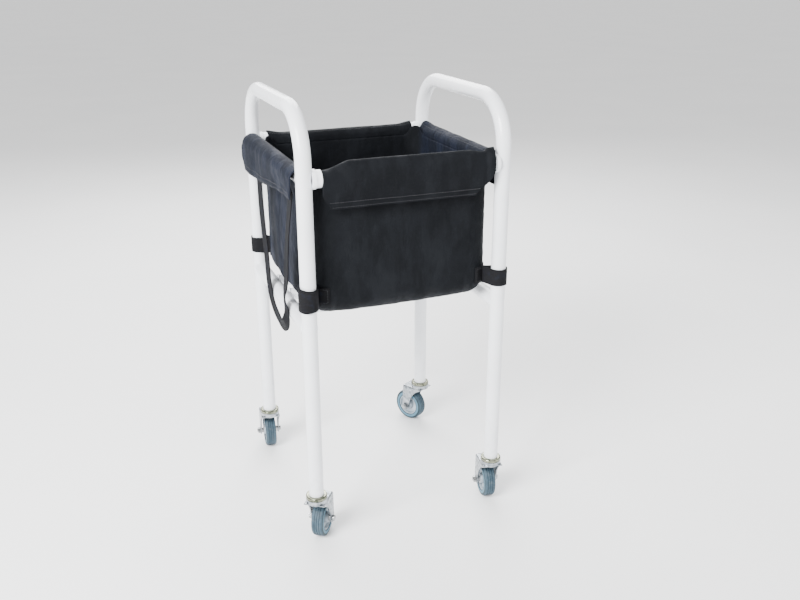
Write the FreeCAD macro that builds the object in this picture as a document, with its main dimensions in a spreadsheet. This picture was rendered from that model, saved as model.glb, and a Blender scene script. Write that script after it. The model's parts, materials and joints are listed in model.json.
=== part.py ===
import FreeCAD, Part
import math
import os
import Sketcher

# A ball cart for the tennis court: two hoops of white tube stand on swivel casters, four rim
# rails between them carry an open cloth bag, and three cross bars under the bag bear its load.
# Millimetres, +Z up, +Y from front to rear. The origin is on the floor, midway between the posts.

SIZES = {
    # Tube frame
    "tube_od": 30, "tube_wall": 1.5, "post_pitch_x": 400, "post_pitch_y": 400,
    "hoop_rise": 120, "hoop_bend_radius": 90, "caster_height": 115,
    "rim_od": 25, "rim_wall": 1.2, "rim_height": 770, "low_rail_height": 480.5,
    "bar_od": 25, "bar_wall": 1.2, "bar_spacing": 90, "weld_gap": 0.05,
    # Sockets that take the ends of the front and rear rim rails, and spigots in the cross bars
    "socket_wall": 4, "socket_reach": 16, "socket_fit": 0.1, "collar_wall": 1.8, "collar_width": 5,
    "spigot_length": 40, "spigot_fit": 0.15, "insert_length": 42, "insert_fit": 0.05,
    # What all pieces that aren't fitted or welded keep between them
    "clearance": 0.3,
    # Bag: cloth shell, base board, flaps over the rim rails, corner straps and carry strap
    "bag_wall": 2, "bag_corner": 45, "bag_round": 38,
    "board_thickness": 3, "board_margin": 3, "flap_cloth": 2.5, "flap_leg": 5.2, "flap_drop": 58,
    "flap_inner_drop": 8, "flap_slope": 14, "flap_end_gap": 4,
    "tie_width": 34, "tie_cloth": 2.4, "tie_neck": 16, "tie_lift": 43.7,
    "strap_width": 25, "strap_thickness": 2.5,
    # Casters
    "wheel_diameter": 80, "wheel_width": 25, "trail": 30, "hub_radius": 27, "bead_fit": 0.05,
    "hub_web": 11, "hub_rim": 2.5, "hub_rim_inset": 1.5, "hub_draft": 1.5,
    "boss_wall": 4, "boss_proud": 1.5,
    "tread_groove_width": 1.4, "tread_groove_depth": 1.2, "tread_groove_pitch": 5, "shoulder": 4.5,
    "axle_radius": 4, "running_fit": 0.05, "side_play": 0.3, "bush_radius": 7, "bush_fit": 0.02,
    "fork_inside": 40, "fork_sheet": 2.5, "fork_foot": 10, "fork_front": 19, "fork_back": 8,
    "fork_sweep": 62, "fork_edge": 4, "crown_drop": 17.5, "crown_boss": 5.5,
    "head_radius": 22, "head_lip": 3, "head_thickness": 5.5, "head_gap": 1, "lip_drop": 1,
    "kingpin_radius": 5, "rivet_radius": 8.5, "rivet_thickness": 3,
    "stem_radius": 5.4, "stem_length": 38, "ball_ring_radius": 12.5,
    "bolt_head_radius": 6.5, "bolt_head": 5, "nut_across_flats": 13, "nut_thickness": 6,
    "bolt_end": 2, "bolt_chamfer": 1.5,
    # Direction in which each caster trails, in degrees from +X
    "swivel_angle_front_left": 54, "swivel_angle_front_right": 80,
    "swivel_angle_rear_left": 84, "swivel_angle_rear_right": 120,
}

# Route of the carry strap beside the bag, from its rear end to its front end. Each point is its y
# and how far it lies below the lower edge of the left flap, where both ends are cut off.
STRAP_ROUTE = [
    (78, -20), (68, 82), (46, 152), (40, 222), (8, 260), (-60, 276), (-112, 250), (-86, 206),
    (-106, 158), (-120, 96), (-148, 28), (-176, -20),
]

CORNERS = {
    "front_left": (-1, -1), "front_right": (1, -1), "rear_left": (-1, 1), "rear_right": (1, 1),
}
SIDES = {"left": -1, "right": 1}
BARS = {"front": -1, "middle": 0, "rear": 1}

doc = FreeCAD.newDocument("ball_cart")
sheet = doc.addObject("Spreadsheet::Sheet", "Sizes")
for row, (alias, number) in enumerate(SIZES.items(), 1):
    sheet.set(f"A{row}", alias)
    sheet.set(f"B{row}", str(number))
    sheet.setAlias(f"B{row}", alias)
doc.recompute()

pieces = []


def size(alias):
    return float(sheet.get(alias))


def value(formula):
    """The number that a formula over the sheet's cells gives."""
    return float(sheet.evalExpression(str(formula)))


def keep(piece, label, x=0, y=0, z=0, turn=0):
    """Names a finished sub-part and puts it in its place, turned about the vertical."""
    piece.Label = label
    spot = FreeCAD.Vector(x, y, z)
    piece.Placement = FreeCAD.Placement(spot, FreeCAD.Rotation(FreeCAD.Vector(0, 0, 1), turn))
    pieces.append(piece)
    return piece


def new_body(name):
    return doc.addObject("PartDesign::Body", name)


def new_sketch(body, plane, lift=None):
    """A sketch on one of the body's own planes, lifted off it by a formula."""
    sketch = body.newObject("Sketcher::SketchObject", "sketch")
    support = [feature for feature in body.Origin.OriginFeatures if feature.Role == plane][0]
    sketch.AttachmentSupport = [(support, "")]
    sketch.MapMode = "FlatFace"
    if lift:
        sketch.setExpression("AttachmentOffset.Base.z", lift)
    return sketch


def bind(sketch, constraint, formula):
    index = sketch.addConstraint(constraint)
    sketch.setExpression(f"Constraints[{index}]", str(formula))


def lock(sketch, edge, end, x, y):
    """Holds one end of a sketch edge at a place given by two formulas."""
    bind(sketch, Sketcher.Constraint("DistanceX", -1, 1, edge, end, value(x)), x)
    bind(sketch, Sketcher.Constraint("DistanceY", -1, 1, edge, end, value(y)), y)


def circle(sketch, radius, x="0", y="0"):
    centre = FreeCAD.Vector(value(x), value(y), 0)
    edge = sketch.addGeometry(Part.Circle(centre, FreeCAD.Vector(0, 0, 1), value(radius)))
    bind(sketch, Sketcher.Constraint("Radius", edge, value(radius)), radius)
    lock(sketch, edge, 3, x, y)


def arc_between(start, end, radius):
    """A counterclockwise arc if radius is positive, else a clockwise one."""
    chord = end - start
    rise = math.sqrt(max(radius ** 2 - chord.Length ** 2 / 4, 0))
    left = FreeCAD.Vector(-chord.y, chord.x, 0).normalize()
    centre = (start + end) / 2 + left * math.copysign(rise, radius)
    first, last = (start, end) if radius > 0 else (end, start)
    angles = [math.atan2(p.y - centre.y, p.x - centre.x) for p in (first, last)]
    full = Part.Circle(centre, FreeCAD.Vector(0, 0, 1), abs(radius))
    return Part.ArcOfCircle(full, angles[0], angles[1])


def outline(sketch, corners, arcs=None, closed=True):
    """Draws lines, or arcs of under a half circle, from corner to corner.

    corners are pairs of formulas. arcs maps the number of a stretch to the formula of its
    radius, with a minus sign before it where the arc runs clockwise.
    """
    arcs = arcs or {}
    count = len(corners) if closed else len(corners) - 1
    points = [FreeCAD.Vector(value(x), value(y), 0) for x, y in corners]
    ends = []
    for i in range(count):
        start, end = points[i], points[(i + 1) % len(points)]
        if i in arcs:
            radius = value(arcs[i])
            edge = sketch.addGeometry(arc_between(start, end, radius))
            bind(sketch, Sketcher.Constraint("Radius", edge, abs(radius)), f"abs({arcs[i]})")
            ends.append((edge, 1, 2) if radius > 0 else (edge, 2, 1))
        else:
            edge = sketch.addGeometry(Part.LineSegment(start, end))
            ends.append((edge, 1, 2))
    for i, (edge, first, last) in enumerate(ends):
        lock(sketch, edge, first, *corners[i])
        if i + 1 < count or closed:
            after = ends[(i + 1) % count]
            sketch.addConstraint(Sketcher.Constraint("Coincident", edge, last, after[0], after[1]))
        else:
            lock(sketch, edge, last, *corners[-1])


def pad(body, sketch, length, both=True):
    feature = body.newObject("PartDesign::Pad", "pad")
    feature.Profile = sketch
    if both:
        feature.SideType = "Symmetric"
    feature.setExpression("Length", length)
    doc.recompute()
    return feature


def pocket(body, sketch):
    """Cuts the sketch right through the body, both ways, and checks that it took something."""
    before = body.Shape.Volume
    feature = body.newObject("PartDesign::Pocket", "pocket")
    feature.Profile = sketch
    feature.SideType = "Symmetric"
    feature.Type = "ThroughAll"
    doc.recompute()
    if body.Shape.Volume >= before:
        raise RuntimeError(f"{body.Name}: a pocket cut nothing")
    return feature


def revolve(body, sketch):
    """Turns the sketch about its own vertical axis."""
    feature = body.newObject("PartDesign::Revolution", "revolution")
    feature.Profile = sketch
    feature.ReferenceAxis = (sketch, ["V_Axis"])
    doc.recompute()
    return feature


def fillet(body, chosen, radius):
    """Rounds the edges that a test picks."""
    tip = body.Tip
    names = [f"Edge{i}" for i, edge in enumerate(tip.Shape.Edges, 1) if chosen(edge)]
    feature = body.newObject("PartDesign::Fillet", "fillet")
    feature.Base = (tip, names)
    feature.setExpression("Radius", radius)
    doc.recompute()
    return feature


# Formulas that several pieces share
POST = "Sizes.tube_od / 2"
HALF_X = "Sizes.post_pitch_x / 2"
HALF_Y = "Sizes.post_pitch_y / 2"
COPE = f"({POST} + Sizes.weld_gap)"
RIM = "Sizes.rim_od / 2"
BAG = f"({HALF_X} - {RIM} - Sizes.clearance)"
BAG_DEEP = f"({HALF_Y} - {RIM} - Sizes.clearance)"
BAG_BOTTOM = "(Sizes.low_rail_height + Sizes.bar_od / 2 + Sizes.clearance)"
half_x, half_y = value(HALF_X), value(HALF_Y)


def hoop(side):
    """One bent tube: two legs, two bends and the push bar across the top."""
    body = new_body(f"hoop_{side}")
    path = new_sketch(body, "YZ_Plane")
    top = "(Sizes.rim_height + Sizes.hoop_rise)"
    bend_y = f"({HALF_Y} - Sizes.hoop_bend_radius)"
    bend_z = f"({top} - Sizes.hoop_bend_radius)"
    outline(path, [
        (f"-{HALF_Y}", "Sizes.caster_height"), (f"-{HALF_Y}", bend_z), (f"-{bend_y}", top),
        (bend_y, top), (HALF_Y, bend_z), (HALF_Y, "Sizes.caster_height"),
    ], arcs={1: "-Sizes.hoop_bend_radius", 3: "-Sizes.hoop_bend_radius"}, closed=False)
    section = new_sketch(body, "XY_Plane", lift="Sizes.caster_height")
    circle(section, POST, y=f"-{HALF_Y}")
    circle(section, f"{POST} - Sizes.tube_wall", y=f"-{HALF_Y}")
    doc.recompute()
    pipe = body.newObject("PartDesign::AdditivePipe", "pipe")
    pipe.Profile = section
    pipe.Spine = (path, [f"Edge{i}" for i in range(1, 6)])
    doc.recompute()
    return body


def straight_tube(name, along, radius, wall, length):
    """A tube centred on the origin, along X or Y."""
    body = new_body(name)
    section = new_sketch(body, "YZ_Plane" if along == "x" else "XZ_Plane")
    circle(section, radius)
    circle(section, f"{radius} - {wall}")
    pad(body, section, length)
    return body


def cope(body, plane, half_pitch):
    """Hollows both ends of a tube to fit round the two tubes that it meets."""
    cut = new_sketch(body, plane)
    along_x = plane == "XZ_Plane"
    for sign in ("-", ""):
        spot = f"{sign}{half_pitch}"
        circle(cut, COPE, x=spot if along_x else "0", y="0" if along_x else spot)
    pocket(body, cut)


def side_rail(name, radius, wall):
    body = straight_tube(name, "y", radius, wall, "Sizes.post_pitch_y")
    cope(body, "XY_Plane", HALF_Y)
    return body


def cross_bar(name):
    body = straight_tube(name, "x", "Sizes.bar_od / 2", "Sizes.bar_wall", "Sizes.post_pitch_x")
    cope(body, "XZ_Plane", HALF_X)
    return body


def end_rim_rail(name):
    """The front or rear rim rail, whose ends stop inside the sockets."""
    return straight_tube(name, "x", RIM, "Sizes.rim_wall",
                         "Sizes.post_pitch_x - Sizes.tube_od - 2 * Sizes.clearance")


def rim_socket(name):
    """A sleeve with a collar, welded to a post just clear of the side rail. It opens towards +X."""
    body = new_body(name)
    bore = f"({RIM} + Sizes.socket_fit)"
    sleeve = f"({bore} + Sizes.socket_wall)"
    start = f"({RIM} + Sizes.clearance)"
    for radius, reach in ((sleeve, "Sizes.socket_reach"),
                          (f"{sleeve} + Sizes.collar_wall", "Sizes.collar_width")):
        ring = new_sketch(body, "YZ_Plane", lift=start)
        circle(ring, radius)
        circle(ring, bore)
        pad(body, ring, f"{POST} + {reach} - {start}", both=False)
    saddle = new_sketch(body, "XY_Plane")
    circle(saddle, COPE)
    pocket(body, saddle)
    return body


def cylinder(name, radius, height, spot, axis):
    """A round bar that starts at a spot, a triple of formulas, and runs along X, Y or Z."""
    bar = doc.addObject("Part::Cylinder", name)
    turns = {"x": ((0, 1, 0), 90), "y": ((1, 0, 0), -90), "z": ((0, 0, 1), 0)}
    direction, angle = turns[axis]
    bar.Placement = FreeCAD.Placement(
        FreeCAD.Vector(0, 0, 0), FreeCAD.Rotation(FreeCAD.Vector(*direction), angle))
    bar.setExpression("Radius", radius)
    bar.setExpression("Height", height)
    for letter, formula in zip("xyz", spot):
        bar.setExpression(f"Placement.Base.{letter}", str(formula))
    return bar


def cut(name, base, tool):
    """One form minus another."""
    result = doc.addObject("Part::Cut", name)
    result.Base = base
    result.Tool = tool
    return result


def group(name, solids):
    """Like solids that share one node."""
    result = doc.addObject("Part::Compound", name)
    result.Links = solids
    doc.recompute()
    return result


def spigots():
    """Six short bars on the low rails that the ends of the cross bars slide over."""
    solids = []
    radius = "Sizes.bar_od / 2 - Sizes.bar_wall - Sizes.spigot_fit"
    for side, x_sign in SIDES.items():
        rail = ("-" if x_sign < 0 else "") + HALF_X
        for bar, place in BARS.items():
            middle = f"{place} * Sizes.bar_spacing"
            start = rail if x_sign < 0 else f"{HALF_X} - {POST} - Sizes.spigot_length"
            name = f"spigot_{side}_{bar}"
            blank = cylinder(f"{name}_blank", radius, f"{POST} + Sizes.spigot_length",
                             (start, middle, "Sizes.low_rail_height"), "x")
            tool = cylinder(f"{name}_tool", COPE, "Sizes.tube_od * 2",
                            (rail, f"{middle} - Sizes.tube_od", "Sizes.low_rail_height"), "y")
            solids.append(cut(name, blank, tool))
    return group("cross_bar_spigots", solids)


def leg_inserts():
    """Four bored plugs in the feet of the hoops, which hold the caster stems."""
    solids = []
    for corner, (x_sign, y_sign) in CORNERS.items():
        spot = (f"{x_sign} * {HALF_X}", f"{y_sign} * {HALF_Y}", "Sizes.caster_height")
        name = f"insert_{corner}"
        blank = cylinder(f"{name}_blank", f"{POST} - Sizes.tube_wall - Sizes.insert_fit",
                         "Sizes.insert_length", spot, "z")
        bore = cylinder(f"{name}_bore", "Sizes.stem_radius + Sizes.insert_fit",
                        "Sizes.insert_length", spot, "z")
        solids.append(cut(name, blank, bore))
    return group("leg_inserts", solids)


def rounded_square(sketch, half_width, half_depth, radius):
    """A rectangle about the origin whose corners are quarter circles."""
    x, y = f"({half_width} - {radius})", f"({half_depth} - {radius})"
    outline(sketch, [
        (x, f"-{half_depth}"), (half_width, f"-{y}"), (half_width, y), (x, half_depth),
        (f"-{x}", half_depth), (f"-{half_width}", y), (f"-{half_width}", f"-{y}"),
        (f"-{x}", f"-{half_depth}"),
    ], arcs={0: radius, 2: radius, 4: radius, 6: radius})


def soft_box(name, inset, floor, top):
    """The bag's outer or inner form: rounded upright corners and a rounded lower edge."""
    body = new_body(name)
    plan = new_sketch(body, "XY_Plane", lift=floor)
    rounded_square(plan, f"({BAG} - {inset})", f"({BAG_DEEP} - {inset})", f"(Sizes.bag_corner - {inset})")
    pad(body, plan, f"{top} - {floor}", both=False)
    level = value(floor)
    fillet(body, lambda edge: abs(edge.BoundBox.ZMax - level) < 1e-6, f"Sizes.bag_round - {inset}")
    return body


def bag_body():
    """The cloth shell, open at the top. Its upper edge ends where the flaps take over."""
    rim = "(Sizes.rim_height - Sizes.flap_inner_drop - Sizes.clearance)"
    outside = soft_box("bag_outside", "0", BAG_BOTTOM, rim)
    floor = f"({BAG_BOTTOM} + Sizes.bag_wall)"
    inside = soft_box("bag_inside", "Sizes.bag_wall", floor, "Sizes.rim_height")
    shell = cut("bag_shell", outside, inside)
    doc.recompute()
    return shell


def base_board():
    """The stiff board that keeps the bag's floor flat."""
    body = new_body("base_board")
    plan = new_sketch(body, "XY_Plane", lift=f"{BAG_BOTTOM} + Sizes.bag_wall")
    inset = "Sizes.bag_round - Sizes.board_margin"
    corner = "(Sizes.bag_corner - Sizes.bag_round)"
    rounded_square(plan, f"({BAG} - {inset})", f"({BAG_DEEP} - {inset})", corner)
    pad(body, plan, "Sizes.board_thickness", both=False)
    return body


def flap(name, half_length):
    """One hem flap: the cloth rises from the bag's wall, goes over the rail and hangs outside.

    It is drawn round a rail that runs along Y, with +X away from the bag.
    """
    body = new_body(name)
    inner = f"({RIM} + Sizes.clearance)"
    outer = f"({inner} + Sizes.flap_cloth)"
    leg = f"({inner} + Sizes.flap_leg)"
    section = new_sketch(body, "XZ_Plane")
    outline(section, [
        (outer, "0"), ("0", outer), (f"-{outer}", "0"), (f"-{outer}", "-Sizes.flap_inner_drop"),
        (f"-{inner}", "-Sizes.flap_inner_drop"), (f"-{inner}", "0"), ("0", inner), (inner, "0"),
        (inner, "-Sizes.flap_drop"), (leg, "-Sizes.flap_drop"), (leg, "-Sizes.flap_slope"),
    ], arcs={0: outer, 1: outer, 5: f"-{inner}", 6: f"-{inner}"})
    pad(body, section, f"2 * ({half_length})")
    return body


def corner_strap(name):
    """A webbing tie sewn to the bag's corner and closed round the post.

    It is drawn with the post on the origin and the bag's corner towards +X.
    """
    body = new_body(name)
    wrap = f"({POST} + Sizes.clearance + Sizes.tie_cloth)"
    neck = "(Sizes.tie_neck / 2)"
    arc_x = f"(({HALF_X} - {BAG} + Sizes.bag_corner) * sqrt(2))"
    reach = f"({arc_x} - Sizes.bag_corner)"
    plan = new_sketch(body, "XY_Plane")
    outline(plan, [
        ("0", f"-{wrap}"), (f"{reach} + {neck}", f"-{neck}"), (f"{reach} + {neck}", neck), ("0", wrap),
        (f"-{wrap}", "0"),
    ], arcs={3: wrap, 4: wrap})
    pad(body, plan, "Sizes.tie_width")
    holes = new_sketch(body, "XY_Plane")
    circle(holes, f"{POST} + Sizes.clearance")
    circle(holes, "Sizes.bag_corner + Sizes.clearance", x=arc_x)
    pocket(body, holes)
    return body


def rounded_route(points):
    """Straight runs joined by tangent arcs, each as large as its two runs allow."""
    edges = []
    start = points[0]
    for before, corner, after in zip(points, points[1:], points[2:]):
        way_in = corner - before
        way_out = after - corner
        shorter = 0.45 * min(way_in.Length, way_out.Length)
        way_in.normalize()
        way_out.normalize()
        turn = way_in.getAngle(way_out)
        radius = shorter / math.tan(turn / 2)
        print(f"carry strap: bend radius {radius:.0f} mm")
        inward = (way_out - way_in).normalize()
        middle = corner + inward * (radius / math.cos(turn / 2) - radius)
        first, last = corner - way_in * shorter, corner + way_out * shorter
        edges += [Part.LineSegment(start, first).toShape(), Part.Arc(first, middle, last).toShape()]
        start = last
    edges.append(Part.LineSegment(start, points[-1]).toShape())
    return Part.Wire(edges)


def carry_strap():
    """A webbing loop that hangs from the left flap, flat beside the bag and the low rail."""
    thickness, width = size("strap_thickness"), size("strap_width")
    x = -value(f"{HALF_X} + {RIM} + Sizes.clearance + Sizes.flap_leg - Sizes.strap_thickness / 2")
    flap_edge = value("Sizes.rim_height - Sizes.flap_drop")
    points = [FreeCAD.Vector(x, y, flap_edge - below) for y, below in STRAP_ROUTE]
    route = rounded_route(points)
    section = Part.makePolygon([
        points[0] + FreeCAD.Vector(across * thickness / 2, along * width / 2, 0)
        for across, along in ((-1, -1), (1, -1), (1, 1), (-1, 1), (-1, -1))
    ])
    webbing = route.makePipeShell([section], True, False)
    by_volume = webbing.Volume / thickness / width
    print(f"carry strap: {route.Length:.0f} mm of route, {by_volume:.0f} by volume")
    above = Part.makeBox(half_x, 2 * half_y, half_y, FreeCAD.Vector(x - width, -half_y, flap_edge))
    strap = doc.addObject("Part::Feature", "carry_strap")
    strap.Shape = webbing.cut(above)
    return strap


# Heights and radii of a caster, as formulas
AXLE_HEIGHT = "(Sizes.wheel_diameter / 2)"
CROWN_BOTTOM = "(Sizes.caster_height - Sizes.crown_drop)"
CROWN_TOP = f"({CROWN_BOTTOM} + Sizes.crown_boss)"
HEAD_UNDER = "(Sizes.caster_height - Sizes.head_thickness)"
LIP_BOTTOM = f"({HEAD_UNDER} - Sizes.lip_drop)"
LIP_INSIDE = "(Sizes.head_radius - Sizes.head_lip)"
FORK_HALF = "(Sizes.fork_inside / 2 + Sizes.fork_sheet)"


def caster_head(name):
    """Stem, cup and riveted kingpin in one turned piece. It stays with the leg."""
    body = new_body(name)
    profile = new_sketch(body, "XZ_Plane")
    rivet_top = f"({CROWN_BOTTOM} - Sizes.side_play)"
    rivet_bottom = f"({rivet_top} - Sizes.rivet_thickness)"
    stem_top = "(Sizes.caster_height + Sizes.stem_length)"
    edge = "(Sizes.head_thickness / 2)"
    outline(profile, [
        ("0", rivet_bottom), ("Sizes.rivet_radius", rivet_bottom), ("Sizes.rivet_radius", rivet_top),
        ("Sizes.kingpin_radius", rivet_top), ("Sizes.kingpin_radius", HEAD_UNDER), (LIP_INSIDE, HEAD_UNDER),
        (LIP_INSIDE, LIP_BOTTOM), ("Sizes.head_radius", LIP_BOTTOM),
        ("Sizes.head_radius", f"(Sizes.caster_height - {edge})"),
        (f"(Sizes.head_radius - {edge})", "Sizes.caster_height"),
        ("Sizes.stem_radius", "Sizes.caster_height"), ("Sizes.stem_radius", stem_top), ("0", stem_top),
    ], arcs={8: edge})
    revolve(body, profile)
    return body


def ball_ring(name):
    """The ring of balls that the fork turns on, as the one eight-sided ring that they fill."""
    body = new_body(name)
    profile = new_sketch(body, "XZ_Plane")
    middle = f"(({CROWN_TOP} + {HEAD_UNDER}) / 2)"
    radius = f"(({HEAD_UNDER} - {CROWN_TOP}) / 2 - Sizes.side_play)"
    outline(profile, [
        (f"Sizes.ball_ring_radius + {radius} * cos({angle})", f"{middle} + {radius} * sin({angle})")
        for angle in range(0, 360, 45)
    ])
    revolve(body, profile)
    return body


def fork(name):
    """A pressed fork: two swept legs under a crown with a raised ring for the balls."""
    body = new_body(name)
    side = new_sketch(body, "XZ_Plane")
    sheet_top = f"({CROWN_BOTTOM} + Sizes.fork_sheet)"
    foot_front = "(Sizes.trail - Sizes.fork_foot)"
    foot_back = "(Sizes.trail + Sizes.fork_foot)"
    foot_low = f"({AXLE_HEIGHT} - Sizes.fork_foot)"
    outline(side, [
        ("-Sizes.fork_front", sheet_top), ("-Sizes.fork_front", CROWN_BOTTOM),
        (foot_front, AXLE_HEIGHT), ("Sizes.trail", foot_low), (foot_back, AXLE_HEIGHT),
        ("Sizes.trail + Sizes.fork_back", sheet_top),
    ], arcs={1: "-Sizes.fork_sweep", 2: "Sizes.fork_foot", 3: "Sizes.fork_foot"})
    pad(body, side, f"2 * {FORK_HALF}")
    top, half = value(sheet_top), value(FORK_HALF)
    fillet(body, lambda edge: edge.BoundBox.ZMin > top - 1e-6 and edge.BoundBox.YLength < 1e-6
           and abs(abs(edge.BoundBox.YMax) - half) < 1e-6, "Sizes.fork_edge")
    channel = new_sketch(body, "YZ_Plane")
    inside = "(Sizes.fork_inside / 2)"
    outline(channel, [(f"-{inside}", "0"), (inside, "0"), (inside, CROWN_BOTTOM),
                      (f"-{inside}", CROWN_BOTTOM)])
    pocket(body, channel)
    ring = new_sketch(body, "XZ_Plane")
    ring_inside = f"({LIP_INSIDE} + Sizes.side_play)"
    ring_top = f"({LIP_BOTTOM} - Sizes.head_gap)"
    outline(ring, [("0", CROWN_BOTTOM), ("Sizes.head_radius", CROWN_BOTTOM),
                   ("Sizes.head_radius", ring_top), (ring_inside, ring_top), (ring_inside, CROWN_TOP),
                   ("0", CROWN_TOP)])
    revolve(body, ring)
    kingpin = new_sketch(body, "XY_Plane")
    circle(kingpin, "Sizes.kingpin_radius + Sizes.running_fit")
    pocket(body, kingpin)
    axle = new_sketch(body, "XZ_Plane")
    circle(axle, "Sizes.axle_radius + Sizes.running_fit", x="Sizes.trail", y=AXLE_HEIGHT)
    pocket(body, axle)
    return body


def wheel_ring(name, half_profile):
    """A round piece about Y. half_profile runs from the inner edge outwards on the side y > 0."""
    body = new_body(name)
    profile = new_sketch(body, "XY_Plane")
    mirrored = [(x, f"-{y}") for x, y in reversed(half_profile)]
    outline(profile, list(half_profile) + mirrored)
    revolve(body, profile)
    return body


def tyre(name):
    """A rubber tyre with rounded shoulders and three grooves round the tread."""
    body = new_body(name)
    profile = new_sketch(body, "XY_Plane")
    bead = "(Sizes.hub_radius + Sizes.bead_fit)"
    half = "(Sizes.wheel_width / 2)"
    rolling = AXLE_HEIGHT
    groove_half = "(Sizes.tread_groove_width / 2)"
    floor = f"({rolling} - Sizes.tread_groove_depth)"
    corners = [(bead, f"-{half}"), (f"({rolling} - Sizes.shoulder)", f"-{half}"),
               (rolling, f"-({half} - Sizes.shoulder)")]
    for groove in (-1, 0, 1):
        middle = f"{groove} * Sizes.tread_groove_pitch"
        low, high = f"({middle} - {groove_half})", f"({middle} + {groove_half})"
        corners += [(rolling, low), (floor, low), (floor, high), (rolling, high)]
    corners += [(rolling, f"({half} - Sizes.shoulder)"), (f"({rolling} - Sizes.shoulder)", half),
                (bead, half)]
    outline(profile, corners, arcs={1: "Sizes.shoulder", len(corners) - 3: "Sizes.shoulder"})
    revolve(body, profile)
    return body


def hub(name):
    """The wheel's moulded centre: boss, thinner web and rim."""
    bore = "(Sizes.bush_radius + Sizes.bush_fit)"
    boss = "(Sizes.bush_radius + Sizes.boss_wall)"
    boss_half = "(Sizes.wheel_width / 2 + Sizes.boss_proud)"
    web_half = "(Sizes.hub_web / 2)"
    rim = "(Sizes.hub_radius - Sizes.hub_rim)"
    rim_half = "(Sizes.wheel_width / 2 - Sizes.hub_rim_inset)"
    return wheel_ring(name, [
        (bore, boss_half), (boss, boss_half), (f"({boss} + Sizes.hub_draft)", web_half),
        (f"({rim} - Sizes.hub_draft)", web_half), (rim, rim_half), ("Sizes.hub_radius", rim_half),
    ])


def bush(name):
    """The spacer tube that the wheel runs on, as long as the fork leaves room for."""
    half = "(Sizes.fork_inside / 2 - Sizes.side_play)"
    bore = "(Sizes.axle_radius + Sizes.running_fit)"
    return wheel_ring(name, [(bore, half), ("Sizes.bush_radius", half)])


def axle_bolt(name):
    """The bolt through fork and wheel, with its head against the fork at y < 0."""
    body = new_body(name)
    profile = new_sketch(body, "XY_Plane")
    end = f"({FORK_HALF} + Sizes.nut_thickness + Sizes.bolt_end)"
    head = f"({FORK_HALF} + Sizes.bolt_head)"
    outline(profile, [
        ("0", f"-{head}"), ("(Sizes.bolt_head_radius - Sizes.bolt_chamfer)", f"-{head}"),
        ("Sizes.bolt_head_radius", f"-({head} - Sizes.bolt_chamfer)"),
        ("Sizes.bolt_head_radius", f"-{FORK_HALF}"), ("Sizes.axle_radius", f"-{FORK_HALF}"),
        ("Sizes.axle_radius", end), ("0", end),
    ])
    revolve(body, profile)
    return body


def axle_nut(name):
    """A hexagon nut on the bolt's end, drawn from the fork's outer face."""
    body = new_body(name)
    face = new_sketch(body, "XZ_Plane", lift=f"-({FORK_HALF} + Sizes.nut_thickness)")
    corner = "Sizes.nut_across_flats / 2 / cos(30)"
    outline(face, [(f"{corner} * cos({60 * i})", f"{corner} * sin({60 * i})") for i in range(6)])
    circle(face, "Sizes.axle_radius + Sizes.bush_fit")
    pad(body, face, "Sizes.nut_thickness", both=False)
    return body


def caster(corner, x_sign, y_sign):
    """All the pieces of one caster, trailing in its own direction."""
    x, y, turn = x_sign * half_x, y_sign * half_y, size(f"swivel_angle_{corner}")
    for part, make in (("head", caster_head), ("ball_ring", ball_ring), ("fork", fork)):
        keep(make(f"{part}_{corner}"), f"caster_{part}_{corner}", x, y, 0, turn)
    trail, height = size("trail"), value(AXLE_HEIGHT)
    x += trail * math.cos(math.radians(turn))
    y += trail * math.sin(math.radians(turn))
    for part, make in (("axle_bolt", axle_bolt), ("axle_nut", axle_nut), ("tyre", tyre),
                       ("wheel_hub", hub), ("wheel_bush", bush)):
        keep(make(f"{part}_{corner}"), f"{part}_{corner}", x, y, height, turn)


def frame():
    low, rim = size("low_rail_height"), size("rim_height")
    for side, sign in SIDES.items():
        x = sign * half_x
        keep(hoop(side), f"hoop_{side}", x)
        keep(side_rail(f"low_rail_{side}", POST, "Sizes.tube_wall"), f"low_rail_{side}", x, z=low)
        keep(side_rail(f"rim_rail_{side}", RIM, "Sizes.rim_wall"), f"rim_rail_{side}", x, z=rim)
    for end, sign in (("front", -1), ("rear", 1)):
        keep(end_rim_rail(f"rim_rail_{end}"), f"rim_rail_{end}", y=sign * half_y, z=rim)
    for bar, place in BARS.items():
        keep(cross_bar(f"cross_bar_{bar}"), f"cross_bar_{bar}", y=place * size("bar_spacing"), z=low)
    for corner, (x_sign, y_sign) in CORNERS.items():
        name = f"rim_socket_{corner}"
        keep(rim_socket(name), name, x_sign * half_x, y_sign * half_y, rim, 0 if x_sign < 0 else 180)
    keep(spigots(), "cross_bar_spigots")
    keep(leg_inserts(), "leg_inserts")


def bag():
    rim = size("rim_height")
    keep(bag_body(), "bag_body")
    keep(base_board(), "bag_base_board")
    short_of_socket = f"{HALF_X} - {POST} - Sizes.socket_reach - Sizes.clearance"
    short_of_post = f"{HALF_Y} - {POST} - Sizes.flap_end_gap"
    keep(flap("flap_front", short_of_socket), "flap_front", y=-half_y, z=rim, turn=-90)
    keep(flap("flap_rear", short_of_socket), "flap_rear", y=half_y, z=rim, turn=90)
    keep(flap("flap_left", short_of_post), "flap_left", x=-half_x, z=rim, turn=180)
    keep(flap("flap_right", short_of_post), "flap_right", x=half_x, z=rim)
    for corner, (x_sign, y_sign) in CORNERS.items():
        towards_bag = math.degrees(math.atan2(-y_sign, -x_sign))
        keep(corner_strap(f"corner_strap_{corner}"), f"corner_strap_{corner}",
             x_sign * half_x, y_sign * half_y, value(f"{BAG_BOTTOM} + Sizes.tie_lift"), towards_bag)
    keep(carry_strap(), "carry_strap")


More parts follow.
